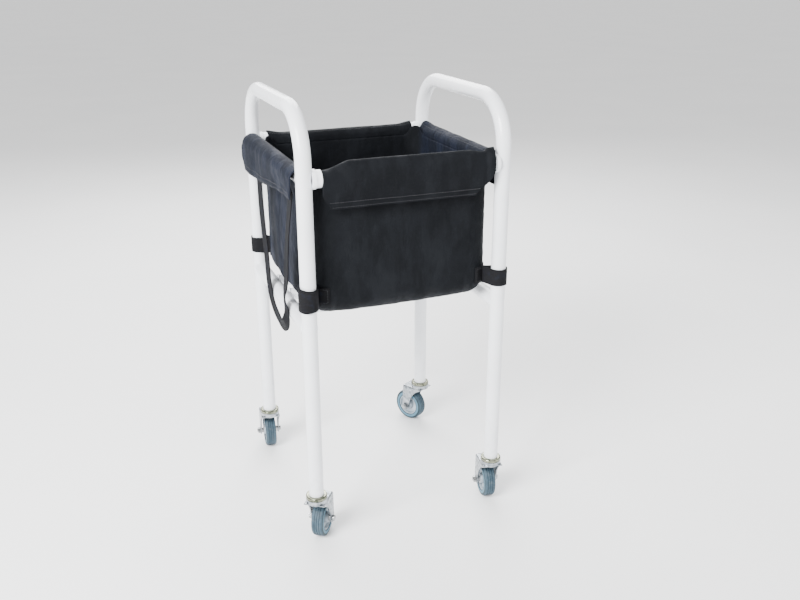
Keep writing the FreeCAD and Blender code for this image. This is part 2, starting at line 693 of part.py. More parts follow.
def write_parts():
    """Stops if any object failed, then writes one STEP file for each sub-part."""
    doc.recompute()
    for thing in doc.Objects:
        if "Invalid" in thing.State or "Error" in thing.State:
            raise RuntimeError(f"{thing.Label} failed: {thing.State}")
    os.makedirs("parts", exist_ok=True)
    for piece in pieces:
        if piece.Shape.isNull() or not piece.Shape.isValid():
            raise RuntimeError(f"{piece.Label} has no valid shape")
        piece.Shape.exportStep(f"parts/{piece.Label}.step")
    print(f"{len(pieces)} sub-parts written")


frame()
bag()
for name, signs in CORNERS.items():
    caster(name, *signs)
write_parts()
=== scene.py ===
"""The looks of the ball cart, built around its packed frame: finishes, cloth, webbing and welds."""

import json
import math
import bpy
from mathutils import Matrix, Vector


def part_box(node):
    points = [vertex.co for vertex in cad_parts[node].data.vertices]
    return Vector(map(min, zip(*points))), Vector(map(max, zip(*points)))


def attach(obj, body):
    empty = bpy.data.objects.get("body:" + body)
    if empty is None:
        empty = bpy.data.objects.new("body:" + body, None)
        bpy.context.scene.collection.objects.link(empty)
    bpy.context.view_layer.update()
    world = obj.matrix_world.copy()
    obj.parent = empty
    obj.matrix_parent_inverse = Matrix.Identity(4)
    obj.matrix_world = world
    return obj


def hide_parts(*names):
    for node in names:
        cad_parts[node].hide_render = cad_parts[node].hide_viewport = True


bl_info = {
    "name": "Ball cart",
    "version": (1, 0, 0),
    "blender": (4, 5, 0),
    "location": "View3D > Sidebar > Ball cart",
    "description": "Finishes, cloth, webbing, welds and stage for the ball cart",
    "category": "Object",
}

import bpy
import numpy as np
from bpy.props import FloatProperty, FloatVectorProperty, PointerProperty
from mathutils import Matrix, Vector, noise

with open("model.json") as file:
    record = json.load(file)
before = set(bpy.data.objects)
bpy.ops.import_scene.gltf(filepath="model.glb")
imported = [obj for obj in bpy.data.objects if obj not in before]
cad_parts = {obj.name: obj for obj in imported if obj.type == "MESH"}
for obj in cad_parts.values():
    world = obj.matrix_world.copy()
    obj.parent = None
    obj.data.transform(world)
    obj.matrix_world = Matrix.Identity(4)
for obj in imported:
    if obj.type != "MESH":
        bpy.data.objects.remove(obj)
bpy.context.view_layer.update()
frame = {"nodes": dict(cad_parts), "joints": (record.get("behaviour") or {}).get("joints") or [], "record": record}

CORNERS = {
    "front_left": (-1, -1), "front_right": (1, -1), "rear_left": (-1, 1), "rear_right": (1, 1),
}
SLOTS = {entry["slot"]: entry for entry in frame["record"]["materials"]}
JOINTS = {joint["name"]: joint for joint in frame["joints"]}


def middle(node):
    low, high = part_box(node)
    return (low + high) / 2


# Places and radii read from the frame
TUBE = (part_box("hoop_right")[1].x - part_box("hoop_right")[0].x) / 2
HALF_X = middle("hoop_right").x
HALF_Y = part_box("hoop_right")[1].y - TUBE
RIM = (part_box("rim_rail_front")[1].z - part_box("rim_rail_front")[0].z) / 2
RIM_Z = middle("rim_rail_front").z
LOW_Z = middle("low_rail_right").z
BAR = (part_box("cross_bar_middle")[1].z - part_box("cross_bar_middle")[0].z) / 2
BAG_LOW, BAG_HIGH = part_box("bag_body")
FLAP_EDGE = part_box("flap_left")[0].z
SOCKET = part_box("rim_socket_front_right")[0].x
HANDLE_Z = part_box("hoop_right")[1].z - TUBE
FOOT_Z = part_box("hoop_right")[0].z
BAR_Y = abs(middle("cross_bar_front").y)
TIE_Z = middle("corner_strap_front_left").z

# Corner radius and lower rounding of the bag, as in its solid
BAG_CORNER = 0.045
BAG_ROUND = 0.038

# How much longer a flap's cloth is than its run along the rail, and how much taller the front left
# corner strap is than the others
FLAP_ENDS = 0.03
FRONT_LEFT_TALLER = 0.011

# How far the fork's legs stand from the wheel's middle on their inside, and the crown's underside
LEGS_INSIDE = 0.02
CROWN_UNDER = FOOT_Z - 0.0175


def slot_colour(label, slot, note):
    return FloatVectorProperty(name=label, description=note, subtype="COLOR", size=3, min=0, max=1,
                               default=SLOTS[slot]["base_color"])


def length(label, default, note):
    return FloatProperty(name=label, description=note, unit="LENGTH", subtype="DISTANCE", min=0,
                         default=default, precision=4)


class CartFinishes(bpy.types.PropertyGroup):
    """Colours of the finishes"""

    paint: slot_colour("Paint", "white_paint", "Powder coat of the tube frame")
    cloth: slot_colour("Cloth", "bag_cloth", "Coated cloth of the bag")
    webbing: slot_colour("Webbing", "webbing", "Carry strap and corner straps")
    board: slot_colour("Board", "board", "Sheet on the floor of the bag")
    head_zinc: slot_colour("Head plating", "zinc_head", "Yellow plating of the caster heads")
    fork_zinc: slot_colour("Fork plating", "zinc_fork", "Clear plating of the caster forks")
    bolt_zinc: slot_colour("Bolt plating", "bolt_zinc", "Plating of the axle bolts and nuts")
    ball_steel: slot_colour("Ball steel", "ball_steel", "Balls between caster head and fork")
    bush_steel: slot_colour("Bush steel", "bush_steel", "Spacer tubes in the wheels")
    bare_steel: slot_colour("Bare steel", "bare_steel", "Bars inside the ends of the cross bars")
    insert: slot_colour("Leg plug", "grey_plastic", "Plugs in the feet of the legs")
    tyre: slot_colour("Tyre", "tyre_rubber", "Rubber of the tyres")
    hub: slot_colour("Hub", "hub_plastic", "Moulded wheel centres")
    thread: FloatVectorProperty(name="Thread", description="Sewing thread", subtype="COLOR", size=3,
                                min=0, max=1, default=(0.012, 0.013, 0.017))


class CartCloth(bpy.types.PropertyGroup):
    """Sizes of the cloth and its sewing"""

    thickness: length("Thickness", 0.002, "Thickness of the cloth, lining included")
    bulge: length("Bulge", 0.0085, "How far the middle of each wall stands out under its load")
    fold: length("Folds", 0.0036, "Depth of the soft upright folds")
    crumple: length("Crumple", 0.0008, "Depth of the small creases")
    sag: length("Sag", 0.0035, "How far the floor hangs between two cross bars")
    roll: length("Roll", 0.0095, "How far the left flap stands off its rail")
    ear: length("Ear", 0.007, "How far the flaps' pointed corners rise at the posts")
    corner: length("Corner rise", 0.021, "How far the bag's corners rise between the flaps' ends")
    lip: length("Front lip", 0.015, "How far the front flap stands up off its rail")
    hem: length("Hem", 0.013, "Height of the turned hem along the flaps' lower edges")
    stitch_pitch: length("Stitch pitch", 0.0048, "From one stitch to the next")
    stitch_length: length("Stitch length", 0.0034, "Length of a stitch that shows")
    stitch_radius: length("Thread radius", 0.00042, "Radius of the sewing thread")


class CartWebbing(bpy.types.PropertyGroup):
    """Sizes of the straps"""

    thickness: length("Thickness", 0.0019, "Thickness of the webbing")
    carry_width: length("Carry strap width", 0.025, "Width of the carry strap")
    tab: length("Tab", 0.046, "Width of the tab that is sewn round the bag's corner")
    crease: length("Crease", 0.0012, "How far the corner straps' edges wander")


class CartHardware(bpy.types.PropertyGroup):
    """Sizes of welds and balls"""

    bead: length("Weld bead", 0.0021, "Radius of the weld beads")
    ripple: length("Weld ripple", 0.0042, "From one ripple of a weld bead to the next")
    ball: length("Ball", 0.00292, "Radius of a ball between caster head and fork")


class CartStage(bpy.types.PropertyGroup):
    """Floor and lights"""

    floor: length("Floor", 70, "Length of the floor's sides")
    key: FloatProperty(name="Key light", description="Power of the light at the front left", unit="POWER",
                       min=0, default=300)
    fill: FloatProperty(name="Fill light", description="Power of the light at the right", unit="POWER",
                        min=0, default=34)
    back: FloatProperty(name="Back light", description="Power of the light above the rear", unit="POWER",
                        min=0, default=150)
    sky: FloatProperty(name="Surrounding light", description="Strength of the even light all round",
                       min=0, default=1.15)


class Signal:
    """A shader socket that Python can calculate with. Each operation adds one node."""

    def __init__(self, shader, socket):
        self.shader = shader
        self.socket = socket

    def maths(self, operation, *others):
        inputs = dict(enumerate((self,) + others))
        return self.shader.node("Math", {"operation": operation}, inputs)

    def maths_from(self, operation, other):
        return self.shader.node("Math", {"operation": operation}, {0: other, 1: self})

    def __add__(self, other):
        return self.maths("ADD", other)

    def __sub__(self, other):
        return self.maths("SUBTRACT", other)

    def __rsub__(self, other):
        return self.maths_from("SUBTRACT", other)

    def __mul__(self, other):
        return self.maths("MULTIPLY", other)

    def __abs__(self):
        return self.maths("ABSOLUTE")

    __radd__ = __add__
    __rmul__ = __mul__

    def sine(self):
        return self.maths("SINE")

    def between(self, low, high):
        """0 below low, 1 above high and a smooth rise from one to the other."""
        return self.shader.node("MapRange", {"interpolation_type": "SMOOTHSTEP"},
                                {"Value": self, "From Min": low, "From Max": high})

    def vector(self, operation, other=None, output="Vector"):
        inputs = {0: self} if other is None else {0: self, 1: other}
        return self.shader.node("VectorMath", {"operation": operation}, inputs, output)

    def part(self, axis):
        return self.shader.node("SeparateXYZ", {}, {0: self}, axis)


class Shader:
    """One material. Settings that are the same all over stand on the surface's own sockets."""

    def __init__(self, name, **constants):
        self.material = bpy.data.materials.new(f"cart_{name}")
        self.material.use_nodes = True
        self.nodes = self.material.node_tree.nodes
        self.links = self.material.node_tree.links
        self.surface = self.nodes["Principled BSDF"]
        for socket, given in constants.items():
            self.feed(socket.replace("_", " ").title(), given)

    def node(self, kind, settings, inputs, output=0):
        """Adds one node. Its settings are set first, then the values or links of its sockets."""
        made = self.nodes.new("ShaderNode" + kind)
        for key, setting in settings.items():
            setattr(made, key, setting)
        for socket, given in inputs.items():
            self.connect(made.inputs[socket], given)
        return Signal(self, made.outputs[output])

    def connect(self, socket, given):
        if isinstance(given, Signal):
            self.links.new(given.socket, socket)
        elif socket.type == "RGBA":
            socket.default_value = (*given, 1)
        else:
            socket.default_value = given

    def feed(self, socket, given):
        names = {"Specular Ior Level": "Specular IOR Level"}
        self.connect(self.surface.inputs[names.get(socket, socket)], given)

    def place(self):
        """Where a point is on the cart at rest, in metres."""
        return self.node("TexCoord", {}, {}, "Object")

    def cut(self):
        """Where a point is on the flat cloth or webbing, in metres."""
        return self.node("TexCoord", {}, {}, "UV")

    def noise(self, at, scale, detail=3, roughness=0.55):
        return self.node("TexNoise", {}, {"Vector": at, "Scale": scale, "Detail": detail,
                                          "Roughness": roughness}, 0)

    def cells(self, at, scale):
        """A random value for each cell of a crystal-like pattern."""
        colours = self.node("TexVoronoi", {"feature": "F1"}, {"Vector": at, "Scale": scale}, "Color")
        return colours.part("X")

    def mix(self, first, second, share):
        return self.node("Mix", {"data_type": "RGBA"}, {"Factor": share, 6: first, 7: second}, 2)

    def bump(self, height, depth):
        """Raises the surface by up to depth, in metres, where height is 1."""
        normal = self.node("Bump", {}, {"Height": height, "Distance": depth, "Strength": 1.0}, 0)
        self.feed("Normal", normal)


def shade(rgb, factor):
    return tuple(min(channel * factor, 1) for channel in rgb)


def white_paint():
    """Powder coat: a fine orange peel, faint clouding, dust and scuffs towards the feet."""
    paint = bpy.context.scene.cart_finishes.paint
    shader = Shader("white_paint", coat_weight=0.25, coat_roughness=0.12)
    at = shader.place()
    cloud = shader.noise(at, 14, 4).between(0.35, 0.7)
    colour = shader.mix(tuple(paint), shade(paint, 0.955), cloud)
    foot = 1 - at.part("Z").between(FOOT_Z, FOOT_Z + 0.16)
    dust = shader.noise(at, 70, 5).between(0.5, 0.72) * foot
    colour = shader.mix(colour, shade(paint, 0.72), dust * 0.3)
    along = at.vector("MULTIPLY", (420, 420, 34))
    scuff = shader.noise(along, 1, 2).between(0.66, 0.74) * shader.noise(at, 9).between(0.5, 0.66)
    colour = shader.mix(colour, shade(paint, 0.6), scuff * 0.22)
    shader.feed("Base Color", colour)
    grip = at.part("Z").between(HANDLE_Z - 0.05, HANDLE_Z)
    shader.feed("Roughness", 0.3 + cloud * 0.08 + dust * 0.2 + scuff * 0.15 - grip * 0.08)
    shader.bump(shader.noise(at, 620, 2) + scuff * -0.3, 0.00006)
    return shader.material


def bag_cloth():
    """Coated woven polyester: a plain weave, soft creases bumped into it and painted paler as a painted highlight,
    and pale flecks.
    """
    cloth = bpy.context.scene.cart_finishes.cloth
    shader = Shader("bag_cloth", sheen_weight=0.012, sheen_roughness=0.4, sheen_tint=(0.45, 0.55, 0.9),
                    specular_ior_level=0.05)
    cut, at = shader.cut(), shader.place()
    thread = 2 * math.pi / 0.0011
    warp = (cut.part("X") * thread).sine()
    weft = (cut.part("Y") * thread).sine()
    weave = warp * weft * 0.5 + 0.5
    cloud = shader.noise(at, 11, 5, 0.62).between(0.36, 0.68)
    crease = shader.noise(at.vector("MULTIPLY", (34, 34, 11)), 1, 4, 0.6).between(0.44, 0.62)
    dark, pale = shade(cloth, 0.1), shade(cloth, 0.19)
    # Painted highlight: the colour is paler along the creases, mixed with random clouding of the tone
    colour = shader.mix(dark, pale, cloud * 0.6 + crease * 0.4)
    fleck = shader.noise(at, 900, 2).between(0.6, 0.8)
    colour = shader.mix(colour, shade(cloth, 0.9), fleck * 0.1 + weave * 0.05)
    # The side panels are painted lighter and bluer, more so along the creases: painted light falling on the sides
    side = abs(at.part("X")).between(BAG_HIGH.x - 0.012, BAG_HIGH.x - 0.003)
    painted_side_light = (cloth[0] * 0.28, cloth[1] * 0.31, cloth[2] * 0.44)
    colour = shader.mix(colour, painted_side_light, side * (0.4 + crease * 0.45))
    shader.feed("Base Color", colour)
    shader.feed("Roughness", 0.66 - crease * 0.12 + weave * 0.06 - cloud * 0.05)
    shader.bump(weave * 0.35 + crease * 0.8 + shader.noise(at, 55, 6, 0.68) * 2.4, 0.00055)
    return shader.material


def webbing():
    """Flat woven strap: ribs along it, picks across it and a fuzz that catches light."""
    band = bpy.context.scene.cart_finishes.webbing
    shader = Shader("webbing", sheen_weight=0.012, sheen_roughness=0.5, sheen_tint=(0.55, 0.6, 0.75),
                    specular_ior_level=0.06)
    cut, at = shader.cut(), shader.place()
    ribs = (cut.part("Y") * (2 * math.pi / 0.0021)).sine() * 0.5 + 0.5
    picks = (cut.part("X") * (2 * math.pi / 0.0014) + ribs * 2.6).sine() * 0.5 + 0.5
    wear = shader.noise(at, 85, 5).between(0.5, 0.78)
    colour = shader.mix(shade(band, 0.3), shade(band, 0.9), ribs * 0.45 + picks * 0.35)
    colour = shader.mix(colour, (band[0] * 1.1, band[1] * 1.3, band[2] * 2), wear * 0.35)
    shader.feed("Base Color", colour)
    shader.feed("Roughness", 0.78 - ribs * 0.1 + wear * 0.08)
    shader.bump(ribs * 0.7 + picks * 0.3, 0.0004)
    return shader.material


def plating(name, tint, rough, spangle, stain, stain_share, inside_of=None):
    """Zinc plating over steel: dull crystal-like patches, dark stains and fine scratches. Between
    the legs of the fork that inside_of names and under its crown, the plating is painted darker: painted shade."""
    shader = Shader(name, metallic=1.0)
    at = shader.place()
    patches = shader.cells(at, spangle)
    cloud = shader.noise(at, 75, 4, 0.6).between(0.38, 0.66)
    colour = shader.mix(shade(tint, 0.65), shade(tint, 1.3), patches * 0.5 + cloud * 0.5)
    blot = shader.noise(at, 120, 5, 0.65).between(0.48, 0.66)
    colour = shader.mix(colour, stain, blot * stain_share)
    if inside_of:
        # Painted shade: darker between the fork's legs and under its crown
        _, side = wheel_spots(shader, inside_of)
        under = 1 - at.part("Z").between(CROWN_UNDER - 0.0002, CROWN_UNDER + 0.0008)
        painted_fork_shade = (1 - side.between(LEGS_INSIDE, LEGS_INSIDE + 0.0008)) * under
        colour = shader.mix(colour, shade(stain, 0.35), painted_fork_shade * 0.85)
    shader.feed("Base Color", colour)
    shader.feed("Roughness", rough + cloud * 0.1 + blot * 0.12 - patches * 0.06)
    scratch = shader.noise(at.vector("MULTIPLY", (240, 240, 2600)), 1, 2).between(0.6, 0.7)
    shader.bump(patches * 0.4 + scratch * 0.6 + blot * 0.5, 0.00005)
    return shader.material


def plain_steel(name, tint, rough, scale):
    """Drawn or polished steel with a faint grain."""
    shader = Shader(name, metallic=1.0)
    at = shader.place()
    grain = shader.noise(at, scale, 4).between(0.35, 0.65)
    shader.feed("Base Color", shader.mix(shade(tint, 0.86), shade(tint, 1.12), grain))
    shader.feed("Roughness", rough + grain * 0.08)
    shader.bump(grain, 0.00002)
    return shader.material


def moulded(name, tint, rough, grain_scale):
    """Moulded plastic or a matt sheet: a fine grain and slight clouding."""
    shader = Shader(name, specular_ior_level=0.45)
    at = shader.place()
    cloud = shader.noise(at, 26, 4).between(0.36, 0.66)
    grain = shader.noise(at, grain_scale, 3)
    shader.feed("Base Color", shader.mix(shade(tint, 0.88), shade(tint, 1.1), cloud))
    shader.feed("Roughness", rough + cloud * 0.08 + grain * 0.05)
    shader.bump(grain, 0.00008)
    return shader.material


def wheel_spots(shader, corner):
    """How far a point is from the wheel's axis, and from the wheel's middle plane."""
    joint = JOINTS[f"{corner}_wheel_spin"]
    offset = shader.place().vector("SUBTRACT", tuple(joint["pos_m"]))
    axis = Vector(joint["axis"]).normalized()
    radius = offset.vector("CROSS_PRODUCT", tuple(axis)).vector("LENGTH", output="Value")
    side = abs(offset.vector("DOT_PRODUCT", tuple(axis), "Value"))
    return radius, side


def ring(radius, middle_radius, half_width, soft=0.0005):
    """1 on a ring about the wheel's axis, 0 elsewhere."""
    return 1 - abs(radius - middle_radius).between(half_width - soft, half_width + soft)


def tyre_rubber(corner):
    """Blue-grey rubber: a paler moulded ring on the sidewall, dark grooves and a dusty tread."""
    tint = bpy.context.scene.cart_finishes.tyre
    shader = Shader(f"tyre_rubber_{corner}", specular_ior_level=0.2)
    radius, side = wheel_spots(shader, corner)
    at = shader.place()
    cloud = shader.noise(at, 60, 5).between(0.36, 0.68)
    wall = 1 - radius.between(0.0372, 0.0384)
    blue = (tint[0] * 0.17, tint[1] * 0.21, tint[2] * 0.22)
    grey = (tint[0] * 0.11, tint[1] * 0.12, tint[2] * 0.1)
    colour = shader.mix(blue, shade(blue, 1.5), cloud)
    colour = shader.mix(colour, grey, wall * 0.9)
    pale = ring(radius, 0.0312, 0.0032, 0.001)
    colour = shader.mix(colour, (tint[0] * 0.55, tint[1] * 0.8, tint[2] * 0.85), pale * 0.8)
    dark = ring(radius, 0.0269, 0.0011) + ring(radius, 0.0355, 0.0004) * 0.6
    groove = (1 - radius.between(0.0388, 0.0396)) * (1 - side.between(0.0062, 0.0068))
    colour = shader.mix(colour, shade(tint, 0.05), dark * 0.95 + groove * 0.6)
    tread = radius.between(0.0394, 0.0399)
    dust = tread * shader.noise(at, 130, 5).between(0.46, 0.66)
    colour = shader.mix(colour, (0.16, 0.19, 0.21), dust * 0.25)
    shader.feed("Base Color", colour)
    shader.feed("Roughness", 0.5 + cloud * 0.1 + dust * 0.25)
    shader.bump(shader.noise(at, 480, 3) * 0.5 - dark * 1.5 + pale * 1.2, 0.00014)
    return shader.material


def hub_plastic(corner):
    """Pale moulded wheel centre: greyer towards the boss, with grime in its corners."""
    tint = bpy.context.scene.cart_finishes.hub
    shader = Shader(f"hub_plastic_{corner}", specular_ior_level=0.5)
    radius, _ = wheel_spots(shader, corner)
    at = shader.place()
    cloud = shader.noise(at, 42, 4).between(0.36, 0.66)
    colour = shader.mix(shade(tint, 0.7), shade(tint, 0.9), cloud)
    grime = (ring(radius, 0.0128, 0.0012) + ring(radius, 0.0236, 0.001)) * shader.noise(at, 150, 4)
    colour = shader.mix(colour, shade(tint, 0.34), grime * 1.1)
    shader.feed("Base Color", colour)
    shader.feed("Roughness", 0.38 + cloud * 0.08 + grime * 0.3)
    shader.bump(shader.noise(at, 350, 2) + ring(radius, 0.018, 0.0006), 0.00007)
    return shader.material


def sewing_thread():
    tint = bpy.context.scene.cart_finishes.thread
    shader = Shader("sewing_thread", sheen_weight=0.3, sheen_roughness=0.4)
    at = shader.place()
    twist = shader.noise(at, 1500, 2).between(0.3, 0.7)
    shader.feed("Base Color", shader.mix(shade(tint, 0.7), shade(tint, 1.4), twist))
    shader.feed("Roughness", 0.6 + twist * 0.15)
    shader.bump(twist, 0.00008)
    return shader.material


def finish(name, maker):
    """A material by its name, made when it is first needed."""
    return bpy.data.materials.get(f"cart_{name}") or maker()


def paint_nodes(material, *nodes):
    for node in nodes:
        piece = frame["nodes"][node]
        piece.data.materials.clear()
        piece.data.materials.append(material)
        smooth_by_angle(piece)


def smooth_by_angle(piece, limit=math.radians(35)):
    """Shades round stretches smoothly and leaves sharp edges sharp."""
    piece.data.polygons.foreach_set("use_smooth", [True] * len(piece.data.polygons))
    piece.data.set_sharp_from_angle(angle=limit)


def add_piece(name, points, faces, corner_uvs, material, slot):
    """Makes a mesh piece in the cart's frame, which rides on the cart's own body."""
    mesh = bpy.data.meshes.new(name)
    mesh.from_pydata([tuple(point) for point in points], [], faces)
    if corner_uvs is not None:
        layer = mesh.uv_layers.new(name="cut")
        layer.data.foreach_set("uv", np.asarray(corner_uvs, float).ravel())
    mesh.polygons.foreach_set("use_smooth", [True] * len(mesh.polygons))
    mesh.materials.append(material)
    mesh.validate()
    piece = bpy.data.objects.new(name, mesh)
    bpy.context.scene.collection.objects.link(piece)
    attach(piece, "root")
    return piece


def grid(points, uvs, wrap=False, end=False, second=None, second_row=0):
    """Vertices, faces and face-corner UVs of a net of rows and columns.

    wrap joins the last column to the first, and end closes the last row. From second_row on, the
    faces take their UVs from second.
    """
    rows, columns = points.shape[:2]
    faces, corners = [], []
    for row in range(rows - 1):
        table = second if second is not None and row >= second_row else uvs
        for column in range(columns if wrap else columns - 1):
            after = (column + 1) % columns
            faces.append((row * columns + column, row * columns + after,
                          (row + 1) * columns + after, (row + 1) * columns + column))
            corners += [table[row][column], table[row][column + 1],
                        table[row + 1][column + 1], table[row + 1][column]]
    if end:
        table = uvs if second is None else second
        faces.append(tuple((rows - 1) * columns + column for column in range(columns)))
        corners += [table[rows - 1][column] for column in range(columns)]
    return points.reshape(-1, 3), faces, corners


def thicken(piece, thickness):
    """Gives a sheet its thickness, as real mesh."""
    modifier = piece.modifiers.new("thickness", "SOLIDIFY")
    modifier.thickness = thickness
    modifier.offset = 0.0
    modifier.use_even_offset = False
    modifier.use_quality_normals = True


def ease(low, high, number):
    """A smooth rise from 0 at low to 1 at high."""
    share = min(max((number - low) / (high - low), 0.0), 1.0)
    return share * share * (3 - 2 * share)


def soft_noise(seed, *place):
    """Smooth noise from -1 to 1 at a place of up to three numbers."""
    spot = list(place) + [0.0] * (3 - len(place))
    return noise.noise(Vector(spot) + Vector((seed * 17.3, seed * 9.1, seed * 5.7)))


class BagSurface:
    """The bag's hanging wall and floor, as a place for every distance round it and down it."""

    COLUMNS_PER_SIDE = 56
    COLUMNS_PER_CORNER = 14

    def __init__(self, cloth):
        self.cloth = cloth
        self.half_x = BAG_HIGH.x - cloth.thickness / 2
        self.half_y = BAG_HIGH.y - cloth.thickness / 2
        self.radius = BAG_CORNER - cloth.thickness / 2
        self.round = BAG_ROUND
        self.top = BAG_HIGH.z
        self.floor = BAG_LOW.z + cloth.thickness / 2
        self.round_z = self.floor + self.round

    def columns(self):
        """For each column: the point the corner arcs turn about, the way out, how far round it is,
        its share of the way along its side, or None on a corner, and how far its top rises."""
        found = []
        run = 0.0
        inner_x, inner_y = self.half_x - self.radius, self.half_y - self.radius
        sides = (((-inner_x, -inner_y), (inner_x, -inner_y), -90),
                 ((inner_x, -inner_y), (inner_x, inner_y), 0),
                 ((inner_x, inner_y), (-inner_x, inner_y), 90),
                 ((-inner_x, inner_y), (-inner_x, -inner_y), 180))
        for start, end, heading in sides:
            span = math.dist(start, end)
            for i in range(self.COLUMNS_PER_SIDE):
                share = i / self.COLUMNS_PER_SIDE
                base = tuple(a + (b - a) * share for a, b in zip(start, end))
                found.append((base, math.radians(heading), run + span * share, share, 0.0))
            run += span
            for i in range(self.COLUMNS_PER_CORNER):
                share = i / self.COLUMNS_PER_CORNER
                rise = self.cloth.corner * ease(0.12, 0.42, share) * (1 - ease(0.58, 0.88, share))
                found.append((end, math.radians(heading + 90 * share),
                              run + self.radius * math.pi / 2 * share, None, rise))
            run += self.radius * math.pi / 2
        self.girth = run
        return found

    def stand_out(self, run, share, down):
        """How far the cloth stands out of its even form at a distance round and down it."""
        cloth = self.cloth
        depth = self.top - self.round_z
        low = min(down / depth, 1.25)
        inside = 0.0 if share is None else math.sin(math.pi * share)
        load = ease(0.02, 0.75, low) * (1 - ease(1.0, 1.25, low))
        bulge = cloth.bulge * inside ** 0.7 * load
        free = ease(0.0, 0.22, low)
        fold = soft_noise(1, run * 21, down * 3.2) + 0.55 * soft_noise(2, run * 43, down * 6)
        fold *= cloth.fold * free * (0.45 + 0.55 * inside)
        drag = 0.0
        if share is not None:
            near = min(share, 1 - share)
            tie = self.top - TIE_Z - down
            slant = (near * 0.29 - abs(tie) * 0.8) * 95
            drag = 0.0012 * math.exp(-((near / 0.16) ** 2) - (tie / 0.075) ** 2) * math.sin(slant)
        pucker = 0.0005 * math.sin(run * 2 * math.pi / 0.017 + 2 * soft_noise(3, run * 9))
        pucker *= math.exp(-down / 0.016)
        creases = soft_noise(4, run * 75, down * 62) + 0.6 * soft_noise(5, run * 150, down * 140)
        crumple = cloth.crumple * creases
        return bulge + fold + drag + (pucker + crumple * ease(0, 0.1, low))

    def corner_run(self, corner):
        """How far round the bag the middle of a corner is."""
        side_x, side_y = 2 * (self.half_x - self.radius), 2 * (self.half_y - self.radius)
        arc = self.radius * math.pi / 2
        order = ("front_right", "rear_right", "rear_left", "front_left").index(corner)
        sides = (side_x, side_y, side_x, side_y)
        return sum(sides[:order + 1]) + arc * (order + 0.5)

    def wall_point(self, column, z):
        """A point on the wall, in the middle of the cloth."""
        base, heading, run, share, _ = column
        out = self.radius + self.stand_out(run, share, max(self.top - z, 0))
        return Vector((base[0] + math.cos(heading) * out, base[1] + math.sin(heading) * out, z))

    def net(self):
        """All rows of the bag, from its upper edge to the middle of its floor."""
        columns = self.columns()
        rows, cut, flat = [], [], []
        wall_rows, round_rows, floor_rows = 48, 10, 14
        depth = self.top - self.round_z
        closing = [column[2] for column in columns] + [self.girth]
        for i in range(wall_rows):
            z = self.top - depth * i / wall_rows
            rise = (1 - i / wall_rows) ** 3
            rows.append([self.wall_point(column, z + column[4] * rise) for column in columns])
            cut.append([(run, self.top - z) for run in closing])
            flat.append([(0.0, 0.0)] * len(closing))
        for i in range(round_rows):
            angle = math.pi / 2 * i / round_rows
            down = depth + self.round * angle
            ring_points = []
            for base, heading, run, share, _ in columns:
                push = self.stand_out(run, share, depth + self.round * angle * 0.5)
                out = self.radius - self.round + (self.round + push) * math.cos(angle)
                drop = (self.round + push * 0.4) * math.sin(angle)
                ring_points.append(Vector((base[0] + math.cos(heading) * out,
                                           base[1] + math.sin(heading) * out, self.round_z - drop)))
            rows.append(ring_points)
            cut.append([(run, down) for run in closing])
            flat.append([(point.x, point.y) for point in ring_points + ring_points[:1]])
        for i in range(floor_rows):
            shrink = 1 - 0.985 * i / (floor_rows - 1)
            ring_points = []
            for base, heading, *_ in columns:
                out = self.radius - self.round
                x = (base[0] + math.cos(heading) * out) * shrink
                y = (base[1] + math.sin(heading) * out) * shrink
                ring_points.append(Vector((x, y, self.floor_height(x, y, shrink))))
            rows.append(ring_points)
            cut.append([(0.0, 0.0)] * len(closing))
            flat.append([(point.x, point.y) for point in ring_points + ring_points[:1]])
        return np.array(rows, float), cut, flat, wall_rows + round_rows - 1

    def floor_height(self, x, y, shrink):
        """The floor rests on the cross bars and hangs a little between them."""
        inside = ease(0, 0.12, 1 - shrink)
        hang = math.sin(math.pi * y / BAR_Y) ** 2 * (1 - ease(BAR_Y * 1.2, BAR_Y * 1.6, abs(y)) * 0.6)
        return self.floor - self.cloth.sag * hang * inside


def section(travel, radius, roll, inner_leg, drop, tuck):
    """A point of a flap's cross-section, and the way out of it.

    travel runs along the cloth from its inner edge. The point is measured from the rail's axis,
    outwards and up. roll widens the arc on its outer side, and tuck draws the lower edge back in.
    """
    arc = math.pi * radius
    if travel < inner_leg:
        return -radius, travel - inner_leg, -1.0, 0.0
    if travel < inner_leg + arc:
        angle = math.pi - (travel - inner_leg) / radius
        wide = radius + roll * (0.5 + 0.5 * math.cos(angle)) ** 1.4
        return wide * math.cos(angle), wide * math.sin(angle), math.cos(angle), math.sin(angle)
    low = (travel - inner_leg - arc) / drop
    return radius + roll - tuck * low ** 1.6, -drop * low, 1.0, 0.0


